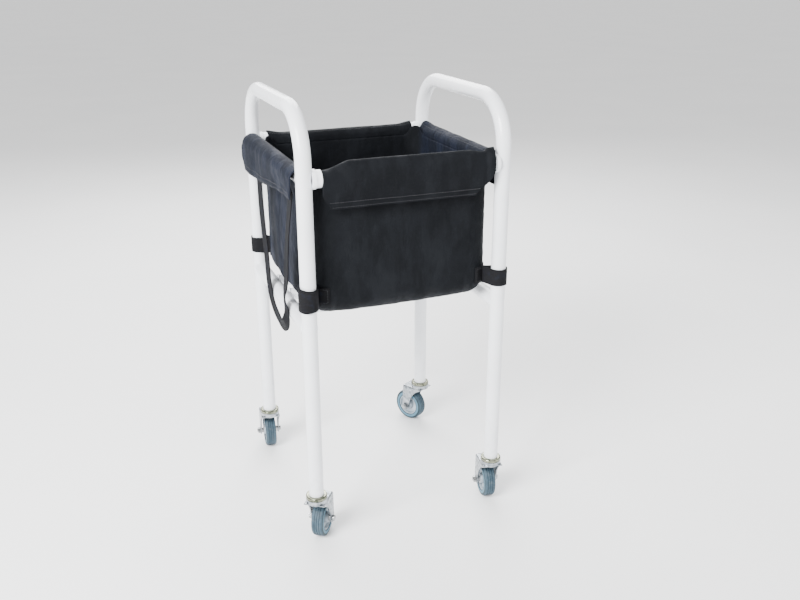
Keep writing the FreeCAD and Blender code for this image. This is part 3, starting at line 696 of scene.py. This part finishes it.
class Flap:
    """One hem flap over a rim rail, with its own roll, ends and lower edge."""

    ROWS = 46
    COLUMNS = 132

    def __init__(self, name, centre, outwards, along, start, end, cloth):
        self.name, self.cloth = name, cloth
        self.centre, self.outwards, self.along = centre, outwards, along
        self.start, self.end = start, end
        self.radius = RIM + 0.0003 + cloth.thickness * 0.55
        self.inner_leg = 0.0085
        self.drop = RIM_Z - FLAP_EDGE
        self.roll = self.tuck = 0.0
        self.seed = sum(map(ord, name)) % 19
        self.wide_from = self.wide_at_end = self.ear_at_start = self.ear_at_end = 0.0
        self.past_post = self.round_end = self.lip = self.short_front = 0.0
        self.pull_start = self.pull_end = 0.016
        self.past_start = 0.0

    def travel(self):
        return self.inner_leg + math.pi * self.radius + self.drop

    def reach(self, share_across, at_end):
        """How far the end is moved along the rail, at a share of the way across the cloth."""
        arc_start = self.inner_leg / self.travel()
        arc_end = (self.inner_leg + math.pi * self.radius) / self.travel()
        lower = max(share_across - arc_end, 0) / (1 - arc_end)
        moved = -(self.pull_end if at_end else self.pull_start) * ease(0.35, 1.0, lower) ** 1.6
        if at_end:
            moved -= self.round_end * ease(0.15, 1.0, lower) ** 1.3
            top = math.exp(-(((share_across - (arc_start + arc_end) / 2) / 0.09) ** 2))
            moved += 0.6 * self.wide_at_end * top
            moved += self.past_post * ease(arc_end - 0.14, arc_end + 0.14, share_across)
        else:
            outside = ease(arc_end - 0.2, arc_end + 0.02, share_across)
            inside = 1 - ease(arc_start - 0.02, arc_start + 0.2, share_across)
            moved += self.past_start * (0.3 + 0.7 * max(outside, inside))
        return moved

    def point(self, across, lengthwise, lift=0.0):
        """A point of the cloth, lifted off its middle. across and lengthwise run from 0 to 1."""
        low = self.start - self.reach(across, False)
        high = self.end + self.reach(across, True)
        place = low + (high - low) * lengthwise
        roll = self.roll_at(place)
        widen = ease(self.wide_from, self.wide_from + 0.006, place) * self.wide_at_end
        radius = self.radius + widen
        drop = self.drop - self.short_front * (1 - ease(self.start, self.end - 0.06, place))
        travel = across * (self.inner_leg + math.pi * radius + drop)
        out, up, way_out, way_up = section(travel, radius, roll, self.inner_leg, drop, self.tuck)
        free = ease(0.1, 0.75, across)
        wave = 0.0017 * soft_noise(self.seed, place * 17, across * 2.4)
        wave += 0.0009 * soft_noise(self.seed + 1, place * 46, across * 6)
        wave += 0.0003 * soft_noise(self.seed + 2, place * 120, across * 26)
        hem = self.cloth.hem / self.drop
        arc_end = 1 - self.drop / self.travel()
        turned = 0.0006 * ease(1 - hem * (1 - arc_end) - 0.01, 1 - hem * (1 - arc_end), across)
        push = max(wave * free, -0.0003) + turned + lift
        ear = self.ear_at_end * ease(self.end - 0.034, self.end + 0.004, place)
        ear += self.ear_at_start * (1 - ease(self.start - 0.004, self.start + 0.034, place))
        ear += self.lip * ease(self.start + 0.004, self.start + 0.06, place) * (1 - 0.7 * ease(
            self.end - 0.05, self.end, place))
        topness = max(way_up, 0) ** 2 if travel > self.inner_leg else 0.0
        spot = self.centre + self.outwards * (out + way_out * push) + self.along * place
        return spot + Vector((0, 0, up + way_up * push + ear * topness))

    def roll_at(self, place):
        if not self.roll:
            return 0.0
        lump = 0.0022 * soft_noise(self.seed + 5, place * 13) + 0.0012 * soft_noise(self.seed + 6, place * 31)
        rear = 0.0025 * math.exp(-(((place - 0.155) / 0.055) ** 2))
        return self.roll + lump + rear

    def mesh(self):
        points, uvs = [], []
        for row in range(self.ROWS + 1):
            across = row / self.ROWS
            points.append([self.point(across, i / self.COLUMNS) for i in range(self.COLUMNS + 1)])
            span = self.end - self.start
            uvs.append([(span * i / self.COLUMNS, across * self.travel()) for i in range(self.COLUMNS + 1)])
        return grid(np.array(points, float), uvs)

    def line(self, across, lift, start=0.0, end=1.0, steps=120):
        """Points along the flap at a share of the way across it, and the ways out there."""
        shares = [start + (end - start) * i / steps for i in range(steps + 1)]
        points = [self.point(across, share, lift) for share in shares]
        higher = [self.point(across, share, lift + 0.001) for share in shares]
        return points, [(b - a).normalized() for a, b in zip(points, higher)]


def net_area(points, faces):
    """Area of a net's faces, in square metres."""
    a, b, c, d = (points[np.array(faces)[:, i]] for i in range(4))
    return float(np.linalg.norm(np.cross(c - a, d - b), axis=1).sum() / 2)


def resample(points, normals, pitch):
    """Evenly spaced places along a line, each with its way forward and its way out."""
    steps = [(b - a).length for a, b in zip(points, points[1:])]
    total, made = sum(steps), []
    count = max(int(total / pitch), 1)
    index, passed = 0, 0.0
    for i in range(count):
        wanted = (i + 0.5) * total / count
        while index < len(steps) - 1 and passed + steps[index] < wanted:
            passed += steps[index]
            index += 1
        share = (wanted - passed) / steps[index]
        spot = points[index].lerp(points[index + 1], share)
        made.append((spot, (points[index + 1] - points[index]).normalized(), normals[index]))
    return made


def stitch_mesh(rows, cloth):
    """All stitches along some lines, as one mesh of short thread ends that dip into the cloth."""
    ends = ((-0.5, 0.25, -0.5), (-0.26, 0.95, 0.1), (0.0, 1.0, 0.35), (0.26, 0.95, 0.1), (0.5, 0.25, -0.5))
    sides = 6
    points, faces = [], []
    for line_points, normals in rows:
        for spot, ahead, out in resample(line_points, normals, cloth.stitch_pitch):
            across = ahead.cross(out).normalized()
            first = len(points)
            for along, wide, lift in ends:
                middle_point = spot + ahead * (along * cloth.stitch_length)
                middle_point += out * (lift * cloth.stitch_radius)
                for side in range(sides):
                    angle = 2 * math.pi * side / sides
                    way = across * math.cos(angle) + out * math.sin(angle)
                    points.append(middle_point + way * (wide * cloth.stitch_radius))
            for level in range(len(ends) - 1):
                base = first + level * sides
                for side in range(sides):
                    after = (side + 1) % sides
                    faces.append((base + side, base + after, base + sides + after, base + sides + side))
            faces.append(tuple(first + side for side in reversed(range(sides))))
            faces.append(tuple(first + (len(ends) - 1) * sides + side for side in range(sides)))
    return points, faces


def sew(name, rows):
    """Adds a piece of stitches."""
    points, faces = stitch_mesh(rows, bpy.context.scene.cart_cloth)
    return add_piece(name, points, faces, None, finish("sewing_thread", sewing_thread), "bag_cloth")


def make_flaps(cloth):
    """The four flaps, each with what the photograph shows of it."""
    x, y = Vector((1, 0, 0)), Vector((0, 1, 0))
    side_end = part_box("flap_left")[1].y
    end_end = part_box("flap_front")[1].x
    front = Flap("flap_cloth_front", Vector((0, -HALF_Y, RIM_Z)), -y, x, -end_end, SOCKET + 0.0065, cloth)
    front.wide_from, front.wide_at_end = SOCKET - 0.009, 0.0058
    front.ear_at_end, front.round_end, front.tuck = cloth.ear, 0.018, 0.008
    front.lip = cloth.lip
    rear = Flap("flap_cloth_rear", Vector((0, HALF_Y, RIM_Z)), y, x, -end_end, end_end, cloth)
    rear.ear_at_start = rear.ear_at_end = cloth.ear * 0.8
    rear.tuck = 0.002
    left = Flap("flap_cloth_left", Vector((-HALF_X, 0, RIM_Z)), -x, y, -side_end, side_end, cloth)
    left.roll, left.tuck, left.past_post = cloth.roll, 0.001, 0.021
    left.pull_start, left.past_start, left.short_front = 0.003, 0.013, 0.022
    right = Flap("flap_cloth_right", Vector((HALF_X, 0, RIM_Z)), x, y, -side_end, side_end, cloth)
    right.roll, right.tuck = cloth.roll * 0.25, 0.003
    right.ear_at_start = right.ear_at_end = cloth.ear * 0.7
    return {"front": front, "rear": rear, "left": left, "right": right}


# Route of the carry strap in the plane beside the bag, from its rear end to its front end. Each
# point is its y and how far it lies below the left flap's lower edge, in metres, and its turn about
# its own line, in degrees.
STRAP_ROUTE = [
    (0.078, -0.012, -6), (0.068, 0.082, -8), (0.046, 0.152, -8), (0.040, 0.222, -7), (0.008, 0.260, -4),
    (-0.060, 0.276, 4), (-0.112, 0.250, 26), (-0.086, 0.206, -16), (-0.106, 0.158, 4),
    (-0.120, 0.096, -2), (-0.148, 0.028, -4), (-0.176, -0.036, -3),
]


def rounded(points, times):
    """Cuts each corner at a quarter of its runs, again and again, which leaves a smooth curve."""
    points = np.array(points, float)
    for _ in range(times):
        before, after = points[:-1], points[1:]
        inner = np.empty((2 * len(before), points.shape[1]))
        inner[0::2] = before * 0.75 + after * 0.25
        inner[1::2] = before * 0.25 + after * 0.75
        points = np.vstack([points[:1], inner, points[-1:]])
    return points


def strap_net(strap):
    """Rows of the carry strap's middle face along its route, and their UVs."""
    plane = middle("carry_strap").x
    route = rounded([(y, FLAP_EDGE - below, turn) for y, below, turn in STRAP_ROUTE], 4)
    rows, uvs = [], []
    run, columns = 0.0, 11
    for i, (y, z, turn) in enumerate(route):
        ahead = route[min(i + 1, len(route) - 1)][:2] - route[max(i - 1, 0)][:2]
        forward = Vector((0, ahead[0], ahead[1])).normalized()
        if i:
            run += math.dist(route[i][:2], route[i - 1][:2])
        flat_across = Vector((0, forward.z, -forward.y))
        across = Matrix.Rotation(math.radians(turn), 3, forward) @ flat_across
        half = strap.carry_width / 2
        out = abs(math.sin(math.radians(turn))) * half
        centre = Vector((plane - out - 0.0002, y, z))
        row = []
        for column in range(columns):
            share = 2 * column / (columns - 1) - 1
            curl = 0.0007 * (share ** 2 - 0.4) + 0.0005 * soft_noise(8, run * 22, share)
            row.append(centre + across * (half * share) - Vector((max(curl, 0) + 0.0001, 0, 0)))
        rows.append(row)
        uvs.append([(run, half * (2 * column / (columns - 1) - 1)) for column in range(columns)])
    return np.array(rows, float), uvs, run


def loop_path(clear_radius, reach, corner_steps=40):
    """A corner strap's line in plan: from the bag's corner, round the post and back."""
    gap = 0.0012
    tangent = math.acos(min(clear_radius / reach, 1))
    arc = [tangent + (2 * math.pi - 2 * tangent) * i / corner_steps for i in range(corner_steps + 1)]
    around = [(clear_radius * math.cos(a), clear_radius * math.sin(a)) for a in arc]
    straight = 7
    start, end = (reach, gap), (reach, -gap)
    way_in = [tuple(a + (b - a) * i / straight for a, b in zip(start, around[0])) for i in range(straight)]
    way_out = [tuple(a + (b - a) * (i + 1) / straight for a, b in zip(around[-1], end))
               for i in range(straight)]
    return way_in + around + way_out


def corner_loop(corner, strap, taller):
    """The net of a corner strap's loop round its post."""
    x_sign, y_sign = CORNERS[corner]
    low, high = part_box(f"corner_strap_{corner}")
    post = Vector((x_sign * HALF_X, y_sign * HALF_Y, 0))
    heading = math.atan2(-y_sign, -x_sign)
    centre_of_arc = (HALF_X - (BAG_HIGH.x - BAG_CORNER)) * math.sqrt(2)
    reach = centre_of_arc - BAG_CORNER - strap.thickness * 0.6
    path = loop_path(TUBE + 0.0006 + strap.thickness / 2, reach)
    turn = Matrix.Rotation(heading, 3, "Z")
    seed = sum(map(ord, corner)) % 13
    rows, uvs, run = [], [], 0.0
    bands = 9
    for i, (x, y) in enumerate(path):
        if i:
            run += math.dist(path[i - 1], path[i])
        far = ease(TUBE, -TUBE, x) if x < TUBE else 0.0
        row = []
        for band in range(bands):
            share = band / (bands - 1)
            edge = (strap.crease + taller * 0.3) * soft_noise(seed, run * 30, share * 2)
            grow = taller * (0.35 + 0.65 * (1 - ease(-0.2 * TUBE, 1.4 * TUBE, x)))
            z = low.z + (high.z + grow - low.z) * share + edge
            swell = (0.0004 + 0.0016 * far * (taller > 0)) * (1 + soft_noise(seed + 3, run * 60, share * 3))
            plan = Vector((x, y, 0))
            row.append(post + turn @ (plan * (1 + swell / max(plan.length, TUBE))) + Vector((0, 0, z)))
        rows.append(row)
        uvs.append([(run, band / (bands - 1) * (high.z - low.z)) for band in range(bands)])
    return np.array(rows, float), uvs, run


def corner_tab(corner, strap, bag):
    """The net of the sewn tab that goes round the bag's corner behind the loop."""
    x_sign, y_sign = CORNERS[corner]
    low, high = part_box(f"corner_strap_{corner}")
    wanted = math.atan2(y_sign, x_sign)
    inner = Vector((x_sign * (bag.half_x - bag.radius), y_sign * (bag.half_y - bag.radius), 0))
    offset = bag.cloth.thickness / 2 + strap.thickness / 2 + 0.0002
    steps, bands = 26, 10
    rows, uvs = [], []
    for i in range(steps + 1):
        travel = strap.tab * (i / steps - 0.5)
        turn = max(min(travel / bag.radius, math.pi / 4), -math.pi / 4)
        spare = travel - turn * bag.radius
        heading = wanted + turn
        way = Vector((math.cos(heading), math.sin(heading), 0))
        side = Vector((-way.y, way.x, 0))
        row = []
        for band in range(bands + 1):
            z = low.z + (high.z - low.z) * band / bands
            out = bag.radius + bag.stand_out(bag.corner_run(corner), None, bag.top - z) + offset
            row.append(inner + way * out + side * spare + Vector((0, 0, z)))
        rows.append(row)
        uvs.append([(travel, (high.z - low.z) * band / bands) for band in range(bands + 1)])
    return np.array(rows, float), uvs


def saddle(centre, along, across, rail_radius, post_radius, bead, ripple):
    """A weld bead round the end of a rail where it meets a post, as a ring with ripples."""
    sides, count = 10, 120
    other = along.cross(across)
    points, faces = [], []
    run = 2 * math.pi * rail_radius
    ripples = max(round(run / ripple), 8)
    for i in range(count):
        angle = 2 * math.pi * i / count
        to_side = other * math.cos(angle) + across * math.sin(angle)
        inside = min(rail_radius * abs(math.cos(angle)), post_radius * 0.985)
        depth = math.sqrt(post_radius ** 2 - inside ** 2)
        spot = centre + along * depth + to_side * rail_radius
        post_out = (along * depth + other * (rail_radius * math.cos(angle))).normalized()
        wobble = soft_noise(11, 6 * math.cos(angle), 6 * math.sin(angle))
        size = bead * (0.86 + 0.14 * abs(math.sin(ripples * angle / 2)) + 0.1 * wobble)
        ahead = (across * math.cos(angle) - other * math.sin(angle)).normalized()
        first = (to_side + post_out).normalized()
        second = ahead.cross(first).normalized()
        for side in range(sides):
            turn = 2 * math.pi * side / sides
            points.append(spot + (first * math.cos(turn) + second * math.sin(turn)) * size)
    for i in range(count):
        after = (i + 1) % count
        for side in range(sides):
            later = (side + 1) % sides
            faces.append((i * sides + side, i * sides + later, after * sides + later, after * sides + side))
    return points, faces


def joined(parts):
    """Several meshes' points and faces as one."""
    points, faces = [], []
    for some_points, some_faces in parts:
        shift = len(points)
        points += some_points
        faces += [tuple(index + shift for index in face) for face in some_faces]
    return points, faces


class CART_OT_frame(bpy.types.Operator):
    """Gives the tube frame its powder coat, and the plugs and bars inside it their finishes"""

    bl_idname = "cart.frame"
    bl_label = "Tube frame"

    def execute(self, context):
        finishes = context.scene.cart_finishes
        paint = finish("white_paint", white_paint)
        tubes = ("hoop", "low_rail", "rim_rail")
        nodes = [f"{tube}_{side}" for tube in tubes for side in ("left", "right")]
        nodes += ["rim_rail_front", "rim_rail_rear"]
        nodes += [f"cross_bar_{bar}" for bar in ("front", "middle", "rear")]
        nodes += [f"rim_socket_{corner}" for corner in CORNERS]
        paint_nodes(paint, *nodes)
        paint_nodes(plain_steel("bare_steel", finishes.bare_steel, 0.35, 300), "cross_bar_spigots")
        paint_nodes(moulded("grey_plastic", finishes.insert, 0.5, 700), "leg_inserts")
        return {"FINISHED"}


class CART_OT_welds(bpy.types.Operator):
    """Adds the weld beads where rails meet the posts, and where bars meet the low rails"""

    bl_idname = "cart.welds"
    bl_label = "Weld beads"

    def execute(self, context):
        hardware = context.scene.cart_hardware
        up, x, y = Vector((0, 0, 1)), Vector((1, 0, 0)), Vector((0, 1, 0))
        side_beads = {"left": [], "right": []}
        for corner, (x_sign, y_sign) in CORNERS.items():
            side = "left" if x_sign < 0 else "right"
            post = Vector((x_sign * HALF_X, y_sign * HALF_Y, 0))
            for height, radius in ((LOW_Z, TUBE), (RIM_Z, RIM)):
                side_beads[side].append(saddle(post + up * height, -y * y_sign, up, radius, TUBE,
                                               hardware.bead, hardware.ripple))
        for side, x_sign in (("left", -1), ("right", 1)):
            for bar in ("front", "middle", "rear"):
                spot = Vector((x_sign * HALF_X, middle(f"cross_bar_{bar}").y, LOW_Z))
                side_beads[side].append(saddle(spot, -x * x_sign, up, BAR, TUBE, hardware.bead,
                                               hardware.ripple))
        paint = finish("white_paint", white_paint)
        for side, beads in side_beads.items():
            add_piece(f"weld_beads_{side}", *joined(beads), None, paint, "white_paint")
        return {"FINISHED"}


class CART_OT_bag(bpy.types.Operator):
    """Builds the hanging bag and its board"""

    bl_idname = "cart.bag"
    bl_label = "Bag"

    def execute(self, context):
        cloth = context.scene.cart_cloth
        bag = BagSurface(cloth)
        points, cut, flat, floor_row = bag.net()
        cloth_material = finish("bag_cloth", bag_cloth)
        net = grid(points, cut, wrap=True, end=True, second=flat, second_row=floor_row)
        shell = add_piece("bag_shell", *net, cloth_material, "bag_cloth")
        thicken(shell, cloth.thickness)
        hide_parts("bag_body")
        net_area(net[0], net[1][:-1])
        paint_nodes(moulded("board", context.scene.cart_finishes.board, 0.6, 900), "bag_base_board")
        return {"FINISHED"}


class CART_OT_flaps(bpy.types.Operator):
    """Hangs the four hem flaps over the rim rails and sews them"""

    bl_idname = "cart.flaps"
    bl_label = "Hem flaps"

    def execute(self, context):
        cloth = context.scene.cart_cloth
        material = finish("bag_cloth", bag_cloth)
        for side, flap in make_flaps(cloth).items():
            net = flap.mesh()
            piece = add_piece(flap.name, *net, material, "bag_cloth")
            thicken(piece, cloth.thickness)
            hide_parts(f"flap_{side}")
            area = net_area(net[0], net[1])
            long = flap.end - flap.start + FLAP_ENDS
            hem = (1 - cloth.hem / flap.travel(), 1 - 0.25 * cloth.hem / flap.travel())
            lift = cloth.thickness / 2
            rows = [flap.line(across, lift, 0.01, 0.99) for across in hem]
            top_seam = (flap.inner_leg + 0.3 * math.pi * flap.radius) / flap.travel()
            rows.append(flap.line(top_seam, lift, 0.01, 0.99))
            seam = sew(f"flap_stitches_{side}", rows)
            max(area / long, flap.travel())
        return {"FINISHED"}


class CART_OT_corner_straps(bpy.types.Operator):
    """Closes the corner straps round the posts and sews their tabs to the bag"""

    bl_idname = "cart.corner_straps"
    bl_label = "Corner straps"

    def execute(self, context):
        strap, bag = context.scene.cart_webbing, BagSurface(context.scene.cart_cloth)
        material = finish("webbing", webbing)
        for corner in CORNERS:
            taller = FRONT_LEFT_TALLER if corner == "front_left" else 0.0
            points, uvs, run = corner_loop(corner, strap, taller)
            loop = add_piece(f"corner_loop_{corner}", *grid(points, uvs), material, "webbing")
            thicken(loop, strap.thickness)
            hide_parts(f"corner_strap_{corner}")
            tab_points, tab_uvs = corner_tab(corner, strap, bag)
            tab = add_piece(f"corner_tab_{corner}", *grid(tab_points, tab_uvs), material, "webbing")
            thicken(tab, strap.thickness)
            seam = sew(f"corner_stitches_{corner}", tab_rows(tab_points, strap))
        return {"FINISHED"}


def tab_rows(points, strap):
    """A sewn box with a cross, just inside a tab's edges."""
    columns, bands = points.shape[0] - 1, points.shape[1] - 1

    def spot(i, j):
        return Vector(points[i][j])

    def way_out(i, j):
        one = spot(min(i + 1, columns), j) - spot(max(i - 1, 0), j)
        other = spot(i, min(j + 1, bands)) - spot(i, max(j - 1, 0))
        return one.cross(other).normalized()

    inset = 2
    left, right, low, high = inset, columns - inset, 1, bands - 1
    middle_column = columns // 2
    paths = [
        [(i, low) for i in range(left, right + 1)], [(i, high) for i in range(left, right + 1)],
        [(left, j) for j in range(low, high + 1)], [(right, j) for j in range(low, high + 1)],
        [(middle_column, j) for j in range(low, high + 1)],
    ]
    rows = []
    for path in paths:
        normals = [way_out(i, j) for i, j in path]
        lift = strap.thickness / 2
        rows.append(([spot(i, j) + normal * lift for (i, j), normal in zip(path, normals)], normals))
    return rows


class CART_OT_carry_strap(bpy.types.Operator):
    """Hangs the carry strap's loop from under the left flap"""

    bl_idname = "cart.carry_strap"
    bl_label = "Carry strap"

    def execute(self, context):
        strap = context.scene.cart_webbing
        points, uvs, run = strap_net(strap)
        piece = add_piece("carry_webbing", *grid(points, uvs), finish("webbing", webbing), "webbing")
        thicken(piece, strap.thickness)
        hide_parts("carry_strap")
        return {"FINISHED"}


class CART_OT_casters(bpy.types.Operator):
    """Finishes the casters and puts real balls between each head and fork"""

    bl_idname = "cart.casters"
    bl_label = "Casters"

    def execute(self, context):
        finishes, hardware = context.scene.cart_finishes, context.scene.cart_hardware
        head = plating("zinc_head", shade(finishes.head_zinc, 0.5), 0.14, 150, (0.02, 0.035, 0.02), 0.9)
        bolt = plating("bolt_zinc", shade(finishes.bolt_zinc, 0.6), 0.22, 320, (0.08, 0.09, 0.09), 0.4)
        bush = plain_steel("bush_steel", finishes.bush_steel, 0.3, 260)
        ball = plain_steel("ball_steel", finishes.ball_steel, 0.08, 420)
        for corner in CORNERS:
            paint_nodes(head, f"caster_head_{corner}")
            # Each fork gets its own plating, with painted shade between its legs and under its crown
            fork = plating(f"zinc_fork_{corner}", shade(finishes.fork_zinc, 0.62), 0.26, 150,
                           (0.05, 0.08, 0.1), 0.55, corner)
            paint_nodes(fork, f"caster_fork_{corner}")
            paint_nodes(bolt, f"axle_bolt_{corner}", f"axle_nut_{corner}")
            paint_nodes(bush, f"wheel_bush_{corner}")
            paint_nodes(tyre_rubber(corner), f"tyre_{corner}")
            paint_nodes(hub_plastic(corner), f"wheel_hub_{corner}")
            self.add_balls(corner, hardware.ball, ball)
        return {"FINISHED"}

    def add_balls(self, corner, radius, material):
        """A ring of balls, a little apart, in the place of the one ring in the frame."""
        low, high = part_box(f"caster_ball_ring_{corner}")
        centre = (low + high) / 2
        ring_radius = (high.x - low.x) / 2 - (high.z - low.z) / 2
        count = int(2 * math.pi * ring_radius / (2.12 * radius))
        rings, segments = 10, 16
        parts = []
        for i in range(count):
            angle = 2 * math.pi * i / count
            spot = centre + Vector((math.cos(angle), math.sin(angle), 0)) * ring_radius
            parts.append(ball_mesh(spot, radius, rings, segments))
        piece = add_piece(f"caster_balls_{corner}", *joined(parts), None, material, "ball_steel")
        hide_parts(f"caster_ball_ring_{corner}")


def ball_mesh(centre, radius, rings, segments):
    points = [centre + Vector((0, 0, radius))]
    for level in range(1, rings):
        polar = math.pi * level / rings
        for segment in range(segments):
            angle = 2 * math.pi * segment / segments
            way = Vector((math.sin(polar) * math.cos(angle), math.sin(polar) * math.sin(angle),
                          math.cos(polar)))
            points.append(centre + way * radius)
    points.append(centre - Vector((0, 0, radius)))
    faces = []
    for segment in range(segments):
        after = (segment + 1) % segments
        faces.append((0, 1 + segment, 1 + after))
        for level in range(rings - 2):
            base = 1 + level * segments
            faces.append((base + segment, base + segments + segment, base + segments + after, base + after))
        base = 1 + (rings - 2) * segments
        faces.append((len(points) - 1, base + after, base + segment))
    return points, faces


def studio_floor():
    shader = Shader("studio_floor", specular_ior_level=0.2)
    at = shader.place()
    cloud = shader.noise(at, 1.4, 3).between(0.3, 0.7)
    shader.feed("Base Color", shader.mix((0.9, 0.905, 0.91), (0.925, 0.928, 0.93), cloud))
    shader.feed("Roughness", 0.7 + cloud * 0.08)
    return shader.material


class CART_OT_stage(bpy.types.Operator):
    """Lays the pale floor and sets the lights and the camera of the photograph"""

    bl_idname = "cart.stage"
    bl_label = "Floor, lights and camera"

    # Where the camera stands, how far it turns towards +X and looks down, and its lens in mm
    CAMERA = (-0.6047, -1.6775, 1.1297)
    TURN = 0.38
    DOWN = 0.369
    ROLL = 0.001
    LENS = 39.15

    def execute(self, context):
        stage = context.scene.cart_stage
        half = stage.floor / 2
        mesh = bpy.data.meshes.new("floor")
        mesh.from_pydata([(-half, -half, 0), (half, -half, 0), (half, half, 0), (-half, half, 0)], [],
                         [(0, 1, 2, 3)])
        mesh.materials.append(studio_floor())
        floor = bpy.data.objects.new("floor", mesh)
        context.scene.collection.objects.link(floor)
        target = Vector((0, 0, 0.45))
        self.add_light("key", (-2.3, -1.5, 2.2), target, 1.5, stage.key)
        self.add_light("fill", (2.2, -1.4, 1.2), target, 2.2, stage.fill)
        self.add_light("back", (0.5, 2.1, 2.4), target, 2.2, stage.back)
        world = bpy.data.worlds.new("studio")
        world.use_nodes = True
        world.node_tree.nodes["Background"].inputs["Color"].default_value = (1, 1, 1, 1)
        world.node_tree.nodes["Background"].inputs["Strength"].default_value = stage.sky
        context.scene.world = world
        camera = bpy.data.cameras.new("camera")
        camera.sensor_width = 36
        camera.lens = self.LENS
        viewer = bpy.data.objects.new("camera", camera)
        viewer.location = self.CAMERA
        viewer.rotation_euler = (math.pi / 2 - self.DOWN, self.ROLL, -self.TURN)
        context.scene.collection.objects.link(viewer)
        context.scene.camera = viewer
        return {"FINISHED"}

    def add_light(self, name, spot, target, size, power):
        light = bpy.data.lights.new(name, "AREA")
        light.size = size
        light.energy = power
        lamp = bpy.data.objects.new(name, light)
        lamp.location = spot
        lamp.rotation_euler = (target - Vector(spot)).to_track_quat("-Z", "Y").to_euler()
        bpy.context.scene.collection.objects.link(lamp)


OPERATORS = (
    CART_OT_frame, CART_OT_welds, CART_OT_bag, CART_OT_flaps, CART_OT_corner_straps,
    CART_OT_carry_strap, CART_OT_casters, CART_OT_stage,
)
SETTINGS = {
    "cart_finishes": CartFinishes, "cart_cloth": CartCloth, "cart_webbing": CartWebbing,
    "cart_hardware": CartHardware, "cart_stage": CartStage,
}


class CART_PT_panel(bpy.types.Panel):
    """Builds the ball cart's looks, one group of pieces at a time"""

    bl_idname = "CART_PT_panel"
    bl_label = "Ball cart"
    bl_space_type = "VIEW_3D"
    bl_region_type = "UI"
    bl_category = "Ball cart"

    def draw(self, context):
        for operator in OPERATORS:
            self.layout.operator(operator.bl_idname)
        for name, group in SETTINGS.items():
            box = self.layout.box()
            box.label(text=group.__doc__)
            for key in group.__annotations__:
                box.prop(getattr(context.scene, name), key)


def register():
    for group in SETTINGS.values():
        bpy.utils.register_class(group)
    for name, group in SETTINGS.items():
        setattr(bpy.types.Scene, name, PointerProperty(type=group))
    for operator in OPERATORS:
        bpy.utils.register_class(operator)
    bpy.utils.register_class(CART_PT_panel)


def unregister():
    bpy.utils.unregister_class(CART_PT_panel)
    for operator in reversed(OPERATORS):
        bpy.utils.unregister_class(operator)
    for name, group in SETTINGS.items():
        delattr(bpy.types.Scene, name)
        bpy.utils.unregister_class(group)


def main():
    register()
    for operator in OPERATORS:
        area, name = operator.bl_idname.split(".")
        getattr(getattr(bpy.ops, area), name)()


if __name__ == "__main__":
    main()
